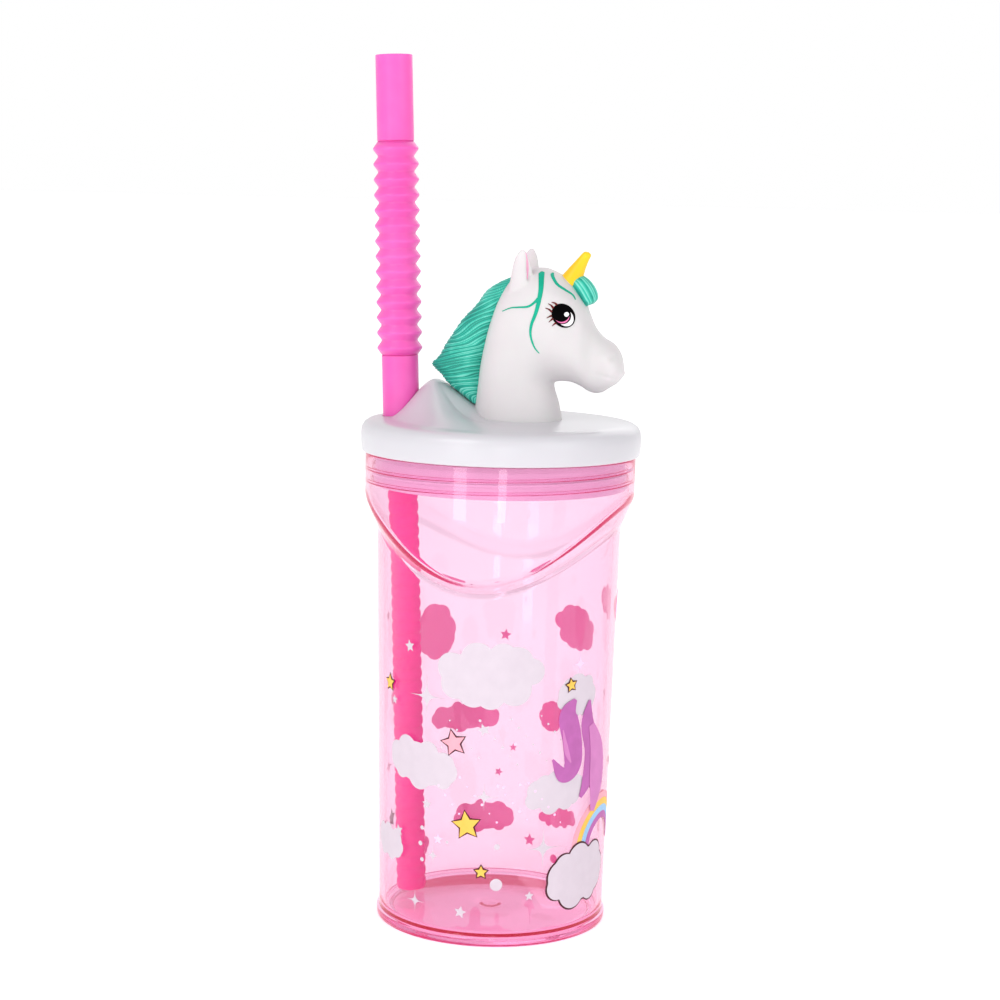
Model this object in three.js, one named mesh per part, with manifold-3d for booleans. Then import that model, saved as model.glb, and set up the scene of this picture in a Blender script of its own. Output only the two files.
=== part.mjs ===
// A child's drinking tumbler: a tapered clear cup with a swooping collar, a screw lid with a moulded
// wave and a unicorn head on top, and a bending straw that leans through the lid.
// Millimetres and degrees, +Z up, +X the way the unicorn faces. The origin is the middle of the base.
import * as THREE from "three";
import { mergeVertices } from "three/addons/utils/BufferGeometryUtils.js";
import Module from "manifold-3d";

const wasm = await Module();
wasm.setup();

// Driving dimensions: cup
const cupHeight = 132.2;
const footRadius = 32.5;
const footHeight = 2.3;
const bodyRadiusLow = 31.8;
const bodyRadiusHigh = 34.1;
const collarRadius = 37.7;
const cupWall = 1.6;
const cupFloor = 3;
const baseRecess = 0.9;
const footRingWidth = 3.6;
const swoopSideHigh = 11.2; // these four are depths below the rim
const swoopSideLow = 19.7;
const swoopFrontHigh = 31.7;
const swoopFrontLow = 35;
const swoopPower = 2.4;

// Driving dimensions: screw thread and lid
const threadPitch = 3.4;
const threadWidth = 1.1;
const threadDepth = 0.8;
const threadTurns = 1.75;
const threadGap = 0.25;
const plugDrop = 9.2;
const plugWall = 1.4;
const plugFloor = 1.6;
const plugFlange = 1.8;
const gasketHeight = 1.5;
const lidGap = 0.3;
const lidHeight = 9.5;
const lidBulge = 1.1;
const lidOverhang = 0.2;
const lidCrown = 0.65; // how far the deck falls from its middle to its edge
const lidWall = 1.8;

// Driving dimensions: the wave behind the unicorn's neck
const neckX = 4;
const waveHeight = 9.9;
const waveCrest = 21.5;
const waveFoot = 35;
const waveStart = 6;
const waveSpread = 72;

// Driving dimensions: straw
const strawLean = 2.2;
const strawAbove = 99; // mouthpiece's top above the lid's deck
const strawFloorGap = 2.6;
const strawRadius = 5.1;
const strawWall = 0.75;
const bellowsAbove = 16.5; // bottom of the folds above the lid's deck
const bellowsLength = 59.1;
const bellowsFolds = 14;
const bellowsPeak = 6.45;
const bellowsValley = 4.9;
const tubePeak = 4.25;
const tubeValley = 4.05;
const tubeBore = 3.5;
const ripplePitch = 3.4;
const socketDrop = 8;
const socketLength = 12;
const grommetWall = 0.6;
const grommetLip = 0.4;
const grommetSeat = 0.1;
const grommetClearance = 0.3;
const tubeClearance = 0.6;
const fitGap = 0.3;

// Driving dimensions: unicorn head
const vinylWall = 2;
const hornRadius = 3;
const hornLength = 9.6;
const hornLean = 27;
const hornX = 14.4; // the horn's and the ears' places are from the neck's axis and the lid's deck
const hornFoot = 38;
const earX = 2;
const earFoot = 36.5;
const earLength = 9.5;
const earSpread = 7;
const screwRadius = 1.4;
const screwHead = 3;

// Facets round each kind of piece
const roundSides = 48;
const strawSides = 16;
const headSides = 20;

// Sizes that follow from the ones above
const rad = Math.PI / 180;
const lidLow = cupHeight + lidGap;
const deckHeight = lidLow + lidHeight;
const boreRadius = collarRadius - cupWall;
const plugRadius = boreRadius - threadDepth - threadGap;
const plugLow = lidLow - plugDrop;
const gasketLow = lidLow - lidGap - gasketHeight;
const threadHigh = gasketLow - threadGap - threadWidth;
const lidThreadHigh = threadHigh - threadWidth - threadGap;
const lidThreadTurns = (lidThreadHigh - plugLow - threadWidth) / threadPitch;
const lidRimRadius = collarRadius + lidOverhang;
const shankLow = deckHeight - socketDrop;
const leanSlope = Math.tan(strawLean * rad);
const grommetRadius = tubePeak + fitGap + grommetWall;
const strawBottom = cupFloor + strawFloorGap;
const strawTop = deckHeight + strawAbove;
const bellowsLow = deckHeight + bellowsAbove;
const bellowsHigh = bellowsLow + bellowsLength;
// The straw's leaning axis meets the base plane where its seal just clears the plug's wall and its tube
// clears the cup's wall under the shoulder.
const strawAtPlug = plugRadius - plugWall - grommetRadius - grommetLip - grommetClearance;
const strawAtShoulder = bodyRadiusHigh - cupWall - tubePeak - tubeClearance;
const strawX = Math.max(
  (plugLow + plugFloor / 2) * leanSlope - strawAtPlug,
  (cupHeight - swoopSideLow) * leanSlope - strawAtShoulder,
);

// Finishes
function finish(colour, roughness, metalness = 0, opacity = 1) {
  return new THREE.MeshStandardMaterial({
    color: colour,
    roughness,
    metalness,
    opacity,
    transparent: opacity < 1,
  });
}
const clearPink = finish("#f0a8cf", 0.08, 0, 0.4);
const glossWhite = finish("#e8e9ec", 0.22);
const siliconeWhite = finish("#e4e0e2", 0.6);
const strawPink = finish("#ff5cb8", 0.35);
const vinylWhite = finish("#ece8e8", 0.55);
const vinylTeal = finish("#2fbfa2", 0.5);
const vinylYellow = finish("#ffcf00", 0.45);
const steel = finish("#b8bcc0", 0.3, 1);

// Shape helpers

// Six times the volume inside a triangle mesh, negative when its faces point inwards.
function signedVolume(geometry) {
  const position = geometry.getAttribute("position");
  const index = geometry.index;
  const [a, b, c] = [new THREE.Vector3(), new THREE.Vector3(), new THREE.Vector3()];
  let volume = 0;
  for (let i = 0; i < index.count; i += 3) {
    a.fromBufferAttribute(position, index.getX(i));
    b.fromBufferAttribute(position, index.getX(i + 1));
    c.fromBufferAttribute(position, index.getX(i + 2));
    volume += a.dot(b.cross(c));
  }
  return volume;
}

// The same mesh with its shared corners merged and its faces pointing out.
function facingOut(geometry) {
  const bare = geometry.clone();
  bare.deleteAttribute("normal");
  bare.deleteAttribute("uv");
  const merged = mergeVertices(bare, 1e-4);
  if (signedVolume(merged) < 0) {
    merged.index.array.reverse();
  }
  return merged;
}

function toSolid(geometry) {
  const merged = facingOut(geometry);
  return new wasm.Manifold(
    new wasm.Mesh({
      numProp: 3,
      vertProperties: new Float32Array(merged.getAttribute("position").array),
      triVerts: new Uint32Array(merged.index.array),
    }),
  );
}

function toGeometry(solid) {
  const result = solid.getMesh();
  const geometry = new THREE.BufferGeometry();
  geometry.setAttribute("position", new THREE.BufferAttribute(result.vertProperties, 3));
  geometry.setIndex(new THREE.BufferAttribute(result.triVerts, 1));
  geometry.computeVertexNormals();
  return geometry;
}

// A closed skin over rings of points; a ring of one point is a pole, and a loop joins its last ring to
// its first.
function skin(rings, isLoop = false) {
  const points = rings.flat();
  const starts = [];
  let total = 0;
  for (const ring of rings) {
    starts.push(total);
    total += ring.length;
  }
  const index = [];
  const bands = isLoop ? rings.length : rings.length - 1;
  for (let i = 0; i < bands; i++) {
    const j = (i + 1) % rings.length;
    const sides = Math.max(rings[i].length, rings[j].length);
    for (let k = 0; k < sides; k++) {
      const next = (k + 1) % sides;
      const a = starts[i] + (rings[i].length > 1 ? k : 0);
      const b = starts[i] + (rings[i].length > 1 ? next : 0);
      const c = starts[j] + (rings[j].length > 1 ? k : 0);
      const d = starts[j] + (rings[j].length > 1 ? next : 0);
      if (a !== b) index.push(a, b, d);
      if (c !== d) index.push(a, d, c);
    }
  }
  const geometry = new THREE.BufferGeometry();
  geometry.setAttribute("position", new THREE.Float32BufferAttribute(points.flat(), 3));
  geometry.setIndex(index);
  return facingOut(geometry);
}

// A profile of [radius, height] points spun about Z. It starts and ends on the axis, or closes on itself.
function turned(profile, sides = roundSides) {
  const points = profile.map(([radius, height]) => new THREE.Vector2(radius, height));
  return facingOut(new THREE.LatheGeometry(points, sides).rotateX(Math.PI / 2));
}

// A ring-shaped profile spun about Z: the outline is closed back to its first point.
function turnedRing(profile, sides = roundSides) {
  return turned([...profile, profile[0]], sides);
}

// Rings round the Z axis, one for each profile point of profileAt(angle).
function shapedRings(profileAt, sides) {
  const columns = [];
  for (let k = 0; k < sides; k++) {
    columns.push(profileAt((k / sides) * 2 * Math.PI));
  }
  return columns[0].map(([firstRadius, firstHeight], row) =>
    firstRadius === 0
      ? [[0, 0, firstHeight]]
      : columns.map((column, k) => {
          const angle = (k / sides) * 2 * Math.PI;
          const [radius, height] = column[row];
          return [radius * Math.cos(angle), radius * Math.sin(angle), height];
        }),
  );
}

// A right-hand thread ridge that winds down from its top end: root and crest radii, and that end's height.
function threadRidge(root, crest, height, turns) {
  const steps = Math.round(turns * roundSides);
  const rings = [];
  for (let i = 0; i <= steps; i++) {
    const angle = -(i / roundSides) * 2 * Math.PI;
    const middle = height + (threadPitch * angle) / (2 * Math.PI);
    const taper = Math.min(1, i / 3, (steps - i) / 3);
    const tip = root + (crest - root) * (0.55 + 0.45 * taper);
    const ring = [
      [root, -threadWidth / 2],
      [tip, -threadWidth / 3],
      [tip, threadWidth / 3],
      [root, threadWidth / 2],
    ].map(([r, dz]) => [r * Math.cos(angle), r * Math.sin(angle), middle + dz]);
    if (i === 0) rings.push([middlePoint(ring)]);
    rings.push(ring);
    if (i === steps) rings.push([middlePoint(ring)]);
  }
  return toSolid(skin(rings));
}

function middlePoint(ring) {
  return [0, 1, 2].map((axis) => ring.reduce((sum, p) => sum + p[axis], 0) / ring.length);
}

// Cup

// Outer radius of the plain tapered body at a height.
function bodyRadius(height) {
  const share = (height - footHeight) / (cupHeight - swoopSideLow - footHeight);
  return bodyRadiusLow + (bodyRadiusHigh - bodyRadiusLow) * share;
}

// Height of the collar's shoulder, which dips in a deep swoop at the front and back, at -Y and +Y.
function swoop(side, front, angle) {
  return cupHeight - side - (front - side) * Math.abs(Math.sin(angle)) ** swoopPower;
}

function cupProfile(angle) {
  const high = swoop(swoopSideHigh, swoopFrontHigh, angle);
  const low = swoop(swoopSideLow, swoopFrontLow, angle);
  const lowRadius = bodyRadius(low);
  const step = collarRadius - lowRadius;
  const shoulder = [0.12, 0.42, 0.78].map((share) => [
    lowRadius + step * (0.5 - 0.5 * Math.cos(Math.PI * share)),
    low + (high - low) * share,
  ]);
  const innerLift = cupWall * 0.5;
  const inside = ([radius, height]) => [radius - cupWall, height + innerLift];
  return [
    [0, baseRecess],
    [footRadius - footRingWidth - baseRecess, baseRecess],
    [footRadius - footRingWidth, 0],
    [footRadius - 0.5, 0],
    [footRadius, 0.5],
    [footRadius, footHeight - 0.3],
    [bodyRadiusLow, footHeight + 0.4],
    [lowRadius, low],
    ...shoulder,
    [collarRadius, high],
    [collarRadius, cupHeight - 0.3],
    [collarRadius - 0.3, cupHeight],
    [boreRadius + 0.3, cupHeight],
    [boreRadius, cupHeight - 0.3],
    [boreRadius, high + innerLift],
    ...shoulder.map(inside).reverse(),
    inside([lowRadius, low]),
    [bodyRadius(cupFloor + 1.5) - cupWall, cupFloor + 1.5],
    [bodyRadius(cupFloor) - cupWall - 1.3, cupFloor],
    [0, cupFloor],
  ];
}

function makeCup() {
  const body = toSolid(skin(shapedRings(cupProfile, roundSides)));
  const ridge = threadRidge(boreRadius + 0.4, boreRadius - threadDepth, threadHigh, threadTurns);
  return toGeometry(body.add(ridge));
}

// Lid

// Height of the wave above the deck at a place: an arc round the back of the neck that climbs from the
// seat to a crest and falls to a foot beside the straw.
function waveAt(x, y) {
  const reach = Math.hypot(x - neckX, y);
  const turn = Math.abs(Math.atan2(y, neckX - x)) / rad;
  if (turn >= waveSpread || reach <= waveStart || reach >= waveFoot) return 0;
  const along = (1 - (turn / waveSpread) ** 2) ** 1.25;
  const inner = ((reach - waveStart) / (waveCrest - waveStart)) ** 1.3;
  const outer = Math.cos((Math.PI / 2) * ((reach - waveCrest) / (waveFoot - waveCrest))) ** 1.6;
  return waveHeight * along * (reach < waveCrest ? inner : outer);
}

// Radii of the deck's rows, from the middle to the edge where the shoulder starts.
const deckEdge = lidRimRadius - 3.9;
const deckRadii = [0, 6];
for (let radius = 10; radius < deckEdge - 1; radius += 3) {
  deckRadii.push(radius);
}
deckRadii.push(deckEdge);

// The deck's own crown, without the wave: nearly flat, and falling faster near its edge.
const lidOuter = deckRadii.map((radius) => [radius, deckHeight - lidCrown * (radius / deckEdge) ** 3]);
const lidShoulder = [
  [lidRimRadius - 1.3, deckHeight - lidCrown * 2],
  [lidRimRadius + 0.3, deckHeight - lidCrown * 4],
  [lidRimRadius + lidBulge, lidLow + lidHeight * 0.48],
  [lidRimRadius + lidBulge * 0.85, lidLow + lidHeight * 0.25],
  [lidRimRadius, lidLow],
];

// The lid's top skin at an angle, raised by a gap, with the wave on it.
function lidTopProfile(angle, gap = 0) {
  return lidOuter.map(([radius, height]) => [
    radius,
    height + gap + waveAt(radius * Math.cos(angle), radius * Math.sin(angle)),
  ]);
}

function lidCapProfile(angle) {
  const top = lidTopProfile(angle);
  const innerEdge = lidRimRadius - lidWall;
  const ceiling = top
    .slice(0, -2)
    .reverse()
    .map(([radius, height], i, all) => [
      i === all.length - 1 ? 0 : radius,
      height - lidWall,
    ]);
  return [
    ...top,
    ...lidShoulder,
    [innerEdge, lidLow],
    [innerEdge + 0.4, lidLow + lidHeight * 0.45],
    [innerEdge - 1.6, deckHeight - lidWall - 1.2],
    [lidRimRadius - 6.4, deckHeight - lidWall - 0.5],
    ...ceiling,
  ];
}

// A tool that leans like the straw, for cutting its way through the lid.
function strawTool(radius) {
  return upright(radius, 0, strawTop).rotate(0, -strawLean, 0).translate(strawX, 0, 0);
}

// Everything below the lid's top skin, raised by the gap that a piece seated on the lid keeps.
function lidEnvelope() {
  const rings = shapedRings((angle) => [
    ...lidTopProfile(angle, fitGap),
    [lidRimRadius, lidLow],
    [0, lidLow],
  ], roundSides);
  return toSolid(skin(rings));
}

function upright(radius, low, high, sides = 24) {
  return toSolid(turned([[0, low], [radius, low], [radius, high], [0, high]], sides));
}

function makeLidCap() {
  const shell = toSolid(skin(shapedRings(lidCapProfile, roundSides)));
  const screwHole = upright(screwRadius + fitGap, lidLow, deckHeight + 5).translate(neckX, 0, 0);
  return toGeometry(shell.subtract(strawTool(strawRadius + fitGap)).subtract(screwHole));
}

function makeLidPlug() {
  const flangeLow = lidLow;
  const plug = toSolid(
    turned([
      [0, plugLow],
      [plugRadius - 0.5, plugLow],
      [plugRadius, plugLow + 0.5],
      [plugRadius, flangeLow],
      [lidRimRadius - lidWall - fitGap, flangeLow],
      [lidRimRadius - lidWall - fitGap, flangeLow + plugFlange],
      [plugRadius - plugWall, flangeLow + plugFlange],
      [plugRadius - plugWall, plugLow + plugFloor],
      [0, plugLow + plugFloor],
    ]),
  );
  const ridge = threadRidge(plugRadius - 0.4, plugRadius + threadDepth, lidThreadHigh, lidThreadTurns);
  return toGeometry(plug.add(ridge).subtract(strawTool(grommetRadius + fitGap)));
}

function makeGasket() {
  const top = lidLow - lidGap;
  const inner = plugRadius + 0.15;
  const outer = boreRadius - 0.2;
  return turnedRing([
    [inner, top],
    [inner, gasketLow],
    [outer - 0.3, gasketLow],
    [outer, top - gasketHeight / 2],
    [outer - 0.3, top],
  ]);
}

// Straw: every piece is turned about the straw's own leaning axis, with heights as on the upright object.

// A soft sleeve that grips the plug's floor with a lip on each side and rubs on the straw's lower tube.
function makeGrommet() {
  const inner = tubePeak + fitGap * 0.8;
  const lip = grommetRadius + grommetLip;
  const gap = grommetSeat + lip * leanSlope;
  const along = 1 / Math.cos(strawLean * rad);
  const under = plugLow * along - gap;
  const over = (plugLow + plugFloor) * along + gap;
  return turnedRing([
    [inner, under - 1.2],
    [lip - 0.3, under - 1.2],
    [lip, under],
    [grommetRadius, under],
    [grommetRadius, over],
    [lip, over],
    [lip - 0.3, over + 1.2],
    [grommetRadius - 0.3, over + 3],
    [inner, over + 3],
  ], 24);
}

function makeTube() {
  const socketLow = shankLow - fitGap;
  const plugged = strawRadius - strawWall - fitGap;
  const count = Math.floor((socketLow - 3 - strawBottom) / ripplePitch);
  const pitch = (socketLow - 3 - strawBottom) / count;
  const outside = [[tubeValley, strawBottom]];
  for (let i = 0; i < count; i++) {
    outside.push([tubePeak, strawBottom + (i + 0.5) * pitch]);
    outside.push([tubeValley, strawBottom + (i + 1) * pitch]);
  }
  return turnedRing([
    [tubeBore, strawBottom],
    ...outside,
    [plugged, socketLow],
    [plugged, socketLow + socketLength],
    [tubeBore, socketLow + socketLength],
  ], 12);
}

function makeShank() {
  return turnedRing([
    [strawRadius - strawWall, shankLow],
    [strawRadius, shankLow],
    [strawRadius, bellowsLow - 0.15],
    [strawRadius - strawWall, bellowsLow - 0.15],
  ], strawSides);
}

function makeBellows() {
  const pitch = (bellowsHigh - bellowsLow) / bellowsFolds;
  const outside = [[bellowsValley, bellowsLow + 0.15]];
  const inside = [[bellowsValley - strawWall, bellowsLow + 0.15]];
  for (let i = 0; i < bellowsFolds; i++) {
    const valley = i === bellowsFolds - 1 ? bellowsHigh - 0.15 : bellowsLow + (i + 1) * pitch;
    outside.push([bellowsPeak, bellowsLow + (i + 0.5) * pitch], [bellowsValley, valley]);
    inside.push(
      [bellowsPeak - strawWall, bellowsLow + (i + 0.5) * pitch],
      [bellowsValley - strawWall, valley],
    );
  }
  return turnedRing([...outside, ...inside.reverse()], strawSides);
}

function makeMouthpiece() {
  return turnedRing([
    [strawRadius - strawWall, bellowsHigh + 0.15],
    [strawRadius, bellowsHigh + 0.15],
    [strawRadius, strawTop - 0.3],
    [strawRadius - 0.3, strawTop],
    [strawRadius - strawWall, strawTop],
  ], strawSides);
}

// Unicorn head

// The head is a fan of cross-sections from the neck to the nose, measured from the neck's axis and the
// lid's deck. Each row is one section: [back x, back height, throat x, throat height, half width].
const headSections = [
  [-11.6, -4, 13.6, -4, 11.8],
  [-11.2, 4, 12, 4, 11.2],
  [-10.7, 10, 10.7, 8.2, 10.6],
  [-10, 16.5, 10.4, 9.8, 10.4],
  [-8.4, 25, 10.8, 10.4, 10.6],
  [-5.9, 32.6, 11.6, 10.7, 11],
  [-2, 38.2, 12.6, 10.8, 11.4],
  [3, 41.2, 13.8, 10.8, 11.6],
  [7.5, 41.8, 15, 10.7, 11.6],
  [12, 40, 16.2, 10.4, 11.3],
  [15.6, 37, 17.4, 9.9, 10.8],
  [18.2, 33.6, 18.6, 9.3, 10],
  [20, 29.4, 19.8, 8.5, 8.8],
  [21.6, 26, 21, 8, 7.8],
  [24, 23.3, 22.4, 7.8, 7.2],
  [27, 21.4, 24, 8.1, 7.1],
  [29, 18.4, 25.8, 9.2, 6.6],
  [29.7, 15, 28, 10.6, 4.4],
];
const noseTip = [29.7, 0, 13.2];

// The mane is the same kind of fan: outer edge, inner edge inside the neck, and half thickness.
const maneSections = [
  [-3, 39.2, -1, 36, 3],
  [-6, 37.8, -2, 33.5, 4.4],
  [-9.4, 35.2, -3, 31, 5.4],
  [-12.4, 31.2, -4, 27.5, 6],
  [-16, 26.6, -5, 24, 6.2],
  [-18.9, 22.3, -5.5, 20.5, 6.2],
  [-21, 18.6, -6, 17, 6],
  [-24, 14.9, -6.4, 13.6, 5.8],
  [-21.8, 11.8, -6.8, 10.6, 5.6],
  [-19.4, 9.2, -7.2, 8, 5.2],
  [-16, 6.6, -7.8, 5.6, 4.6],
  [-13, 4.4, -8.4, 3.6, 3.4],
];

// Elliptical rings of a fan of sections, grown outwards all round by a distance.
function fanRings(sections, grow, sides) {
  return sections.map(([backX, backZ, frontX, frontZ, halfWidth]) => {
    const reach = Math.hypot(backX - frontX, backZ - frontZ) / 2;
    const share = (reach + grow) / reach;
    const [midX, midZ] = [(backX + frontX) / 2, (backZ + frontZ) / 2];
    const ring = [];
    for (let k = 0; k < sides; k++) {
      const angle = (k / sides) * 2 * Math.PI;
      const along = Math.cos(angle) * share;
      ring.push([
        neckX + midX + (backX - midX) * along,
        (halfWidth + grow) * Math.sin(angle),
        deckHeight + midZ + (backZ - midZ) * along,
      ]);
    }
    return ring;
  });
}

// The head's skin grown by a distance; the hollow inside it is the skin shrunk by the vinyl's wall.
function headSolid(grow) {
  const rings = fanRings(headSections, grow, headSides);
  const tip = [neckX + noseTip[0] + grow, noseTip[1], deckHeight + noseTip[2]];
  return toSolid(skin([[middlePoint(rings[0])], ...rings, [tip]]));
}

function headHollow() {
  const rings = fanRings(headSections.slice(0, -2), -vinylWall, headSides);
  const ends = [rings[0], rings.at(-1)].map((ring) => [middlePoint(ring)]);
  return toSolid(skin([ends[0], ...rings, ends[1]])).translate(-0.4, 0, 0);
}

// A leaf-shaped ear, standing on the skull and leaning outwards.
function earSolid(side) {
  const rings = [0, 0.3, 0.6, 0.85].map((share) => {
    const width = 3.1 * (1 - share ** 2.2) + 0.5;
    const depth = 1.7 * (1 - share ** 2) + 0.4;
    const ring = [];
    for (let k = 0; k < 12; k++) {
      const angle = (k / 12) * 2 * Math.PI;
      ring.push([
        neckX + earX - 0.3 * share + width * Math.cos(angle),
        side * (earSpread + 1.6 * share) + depth * Math.sin(angle),
        deckHeight + earFoot + earLength * share,
      ]);
    }
    return ring;
  });
  const foot = middlePoint(rings[0]);
  const tip = [neckX + earX - 0.3, side * (earSpread + 1.9), deckHeight + earFoot + earLength + 0.6];
  return toSolid(skin([[foot], ...rings, [tip]]));
}

function makeHead(envelope) {
  const ears = earSolid(-1).add(earSolid(1));
  return toGeometry(headSolid(0).add(ears).subtract(headHollow()).subtract(envelope));
}

function makeMane(envelope) {
  const rings = fanRings(maneSections, 0, 16);
  const mane = toSolid(skin([[middlePoint(rings[0])], ...rings, [middlePoint(rings.at(-1))]]));
  return toGeometry(mane.subtract(headSolid(fitGap)).subtract(envelope));
}

function hornSolid(grow) {
  const horn = turned([
    [0, -3],
    [hornRadius + grow, -3],
    [hornRadius + grow, 0],
    [hornRadius * 0.72 + grow, hornLength * 0.45],
    [hornRadius * 0.5 + grow, hornLength * 0.8],
    [hornRadius * 0.28 + grow, hornLength - 0.3 + grow],
    [0, hornLength + grow],
  ], 16);
  return toSolid(horn).rotate(0, hornLean, 0).translate(neckX + hornX, 0, deckHeight + hornFoot);
}

function makeHorn() {
  return toGeometry(hornSolid(0).subtract(headSolid(fitGap)));
}

// A short curl of hair in front of the horn, lying on the forehead.
function makeForelock() {
  const sections = [
    [17, 40.4, 14, 35, 3],
    [19.2, 39.2, 15, 33.4, 4.2],
    [21, 37.4, 16, 32.4, 4.6],
    [22.1, 35, 17, 31.8, 4.2],
    [21.8, 33.2, 18, 31.2, 3],
  ];
  const rings = fanRings(sections, 0, 14);
  const curl = toSolid(skin([[middlePoint(rings[0])], ...rings, [middlePoint(rings.at(-1))]]));
  return toGeometry(curl.subtract(headSolid(fitGap)).subtract(hornSolid(fitGap)));
}

// A rigid plug that fills the neck and takes the screw from below.
function makeNeckPlug(envelope) {
  const top = deckHeight + 7;
  const plug = upright(7.6, deckHeight, top).translate(neckX + 0.4, 0, 0);
  const pilot = upright(screwRadius + fitGap, deckHeight - 1, top - 1.5).translate(neckX, 0, 0);
  return toGeometry(plug.subtract(pilot).subtract(envelope));
}

function makeScrew() {
  const seat = deckHeight - lidWall - fitGap;
  return turned([
    [0, seat - 1.8],
    [screwHead - 0.6, seat - 1.8],
    [screwHead, seat - 0.9],
    [screwHead, seat],
    [screwRadius, seat],
    [screwRadius, deckHeight + 4],
    [0, deckHeight + 4.8],
  ], 16);
}

// Assembly

const tumbler = new THREE.Group();

function addPiece(parent, name, geometry, material) {
  const piece = new THREE.Mesh(geometry, material);
  piece.name = name;
  parent.add(piece);
  return piece;
}

const seatEnvelope = lidEnvelope();

addPiece(tumbler, "cup", makeCup(), clearPink);

const lid = new THREE.Group();
tumbler.add(lid);
addPiece(lid, "lid_cap", makeLidCap(), glossWhite);
addPiece(lid, "lid_plug", makeLidPlug(), glossWhite);
addPiece(lid, "lid_gasket", makeGasket(), siliconeWhite);
addPiece(lid, "unicorn_head", makeHead(seatEnvelope), vinylWhite);
addPiece(lid, "unicorn_mane", makeMane(seatEnvelope), vinylTeal);
addPiece(lid, "unicorn_forelock", makeForelock(), vinylTeal);
addPiece(lid, "unicorn_horn", makeHorn(), vinylYellow);
addPiece(lid, "neck_plug", makeNeckPlug(seatEnvelope), glossWhite);
addPiece(lid, "head_screw", makeScrew(), steel).position.x = neckX;

// The straw's axis crosses the base plane at strawX and leans away from the middle towards its top.
const straw = new THREE.Group();
straw.rotation.y = -strawLean * rad;
straw.position.x = strawX;
lid.add(straw);
addPiece(straw, "straw_grommet", makeGrommet(), siliconeWhite);
addPiece(straw, "straw_tube", makeTube(), strawPink);
addPiece(straw, "straw_shank", makeShank(), strawPink);
addPiece(straw, "straw_bellows", makeBellows(), strawPink);
addPiece(straw, "straw_mouthpiece", makeMouthpiece(), strawPink);

export default tumbler;
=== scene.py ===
import math

import bpy
import bmesh
import numpy as np
from mathutils import Matrix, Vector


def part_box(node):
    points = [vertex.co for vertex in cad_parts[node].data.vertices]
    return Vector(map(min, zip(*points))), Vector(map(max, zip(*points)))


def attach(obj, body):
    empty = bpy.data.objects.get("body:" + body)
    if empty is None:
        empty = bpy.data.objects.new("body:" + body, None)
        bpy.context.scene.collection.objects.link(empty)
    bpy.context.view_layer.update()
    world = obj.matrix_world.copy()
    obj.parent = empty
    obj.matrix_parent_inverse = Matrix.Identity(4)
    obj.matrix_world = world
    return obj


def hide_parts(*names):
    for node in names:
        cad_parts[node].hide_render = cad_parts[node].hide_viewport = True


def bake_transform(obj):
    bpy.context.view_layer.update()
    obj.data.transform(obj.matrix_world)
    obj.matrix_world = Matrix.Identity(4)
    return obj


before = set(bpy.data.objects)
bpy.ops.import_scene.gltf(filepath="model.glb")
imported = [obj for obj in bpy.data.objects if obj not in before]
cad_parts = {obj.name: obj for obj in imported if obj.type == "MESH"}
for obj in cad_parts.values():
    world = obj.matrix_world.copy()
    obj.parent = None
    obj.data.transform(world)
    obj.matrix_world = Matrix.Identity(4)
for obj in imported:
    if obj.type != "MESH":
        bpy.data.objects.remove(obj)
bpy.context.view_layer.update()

mm = 0.001  # every size below is in millimetres
lidLow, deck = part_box("lid_cap")[0][2] / mm, 142.0


# A grid of rows by columns becomes quads. With around, the last column joins the first; rows that
# shrink to one place become a pole when the doubles are merged. Normals then point outwards.
def gridObject(name, grids, around=True, sharp=38, layers=None):
    points, faces, start = [], [], 0
    for grid in grids:
        rows, columns = grid.shape[:2]
        index = start + np.arange(rows * columns).reshape(rows, columns)
        following = np.roll(index, -1, axis=1) if around else index[:, 1:]
        here = index if around else index[:, :-1]
        quads = np.stack([here[:-1], following[:-1], following[1:], here[1:]], axis=-1)
        flat, quads = grid.reshape(-1, 3), quads.reshape(-1, 4)
        a, b, c, d = (flat[quads[:, corner] - start] for corner in range(4))
        volume = np.sum(np.cross(b - a, c - a) * a) + np.sum(np.cross(c - a, d - a) * a)
        points.append(flat)
        faces.append(quads[:, ::-1] if volume < 0 else quads)
        start += rows * columns
    mesh = bpy.data.meshes.new(name)
    mesh.from_pydata((np.concatenate(points) * mm).tolist(), [], np.concatenate(faces).tolist())
    for layer, values in (layers or {}).items():
        attribute = mesh.attributes.new(layer, "FLOAT", "POINT")
        attribute.data.foreach_set("value", np.concatenate([v.ravel() for v in values]).astype(np.float32))
    cleaned(mesh, 2e-7)
    smoothed(mesh, sharp)
    piece = bpy.data.objects.new(name, mesh)
    bpy.context.scene.collection.objects.link(piece)
    return piece


# Points closer than a distance are merged, so poles and seams close.
def cleaned(mesh, distance):
    work = bmesh.new()
    work.from_mesh(mesh)
    bmesh.ops.remove_doubles(work, verts=work.verts, dist=distance)
    bmesh.ops.dissolve_degenerate(work, edges=work.edges, dist=distance / 4)
    work.to_mesh(mesh)
    work.free()


def smoothed(mesh, sharp):
    mesh.polygons.foreach_set("use_smooth", np.ones(len(mesh.polygons), dtype=bool))
    mesh.set_sharp_from_angle(angle=math.radians(sharp))
    mesh.update()


# The modifiers' result becomes the mesh.
def applied(piece, sharp=38):
    shown = piece.evaluated_get(bpy.context.evaluated_depsgraph_get())
    mesh = bpy.data.meshes.new_from_object(shown)
    piece.modifiers.clear()
    piece.data = mesh
    cleaned(mesh, 2e-7)
    smoothed(mesh, sharp)
    return piece


# A Boolean difference or union of a piece and a tool, which is then removed.
def combined(piece, tool, operation):
    cut = piece.modifiers.new("cut", "BOOLEAN")
    cut.operation, cut.solver, cut.object = operation, "EXACT", tool
    bpy.context.view_layer.update()
    applied(piece)
    bpy.data.objects.remove(tool)
    return piece


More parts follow.
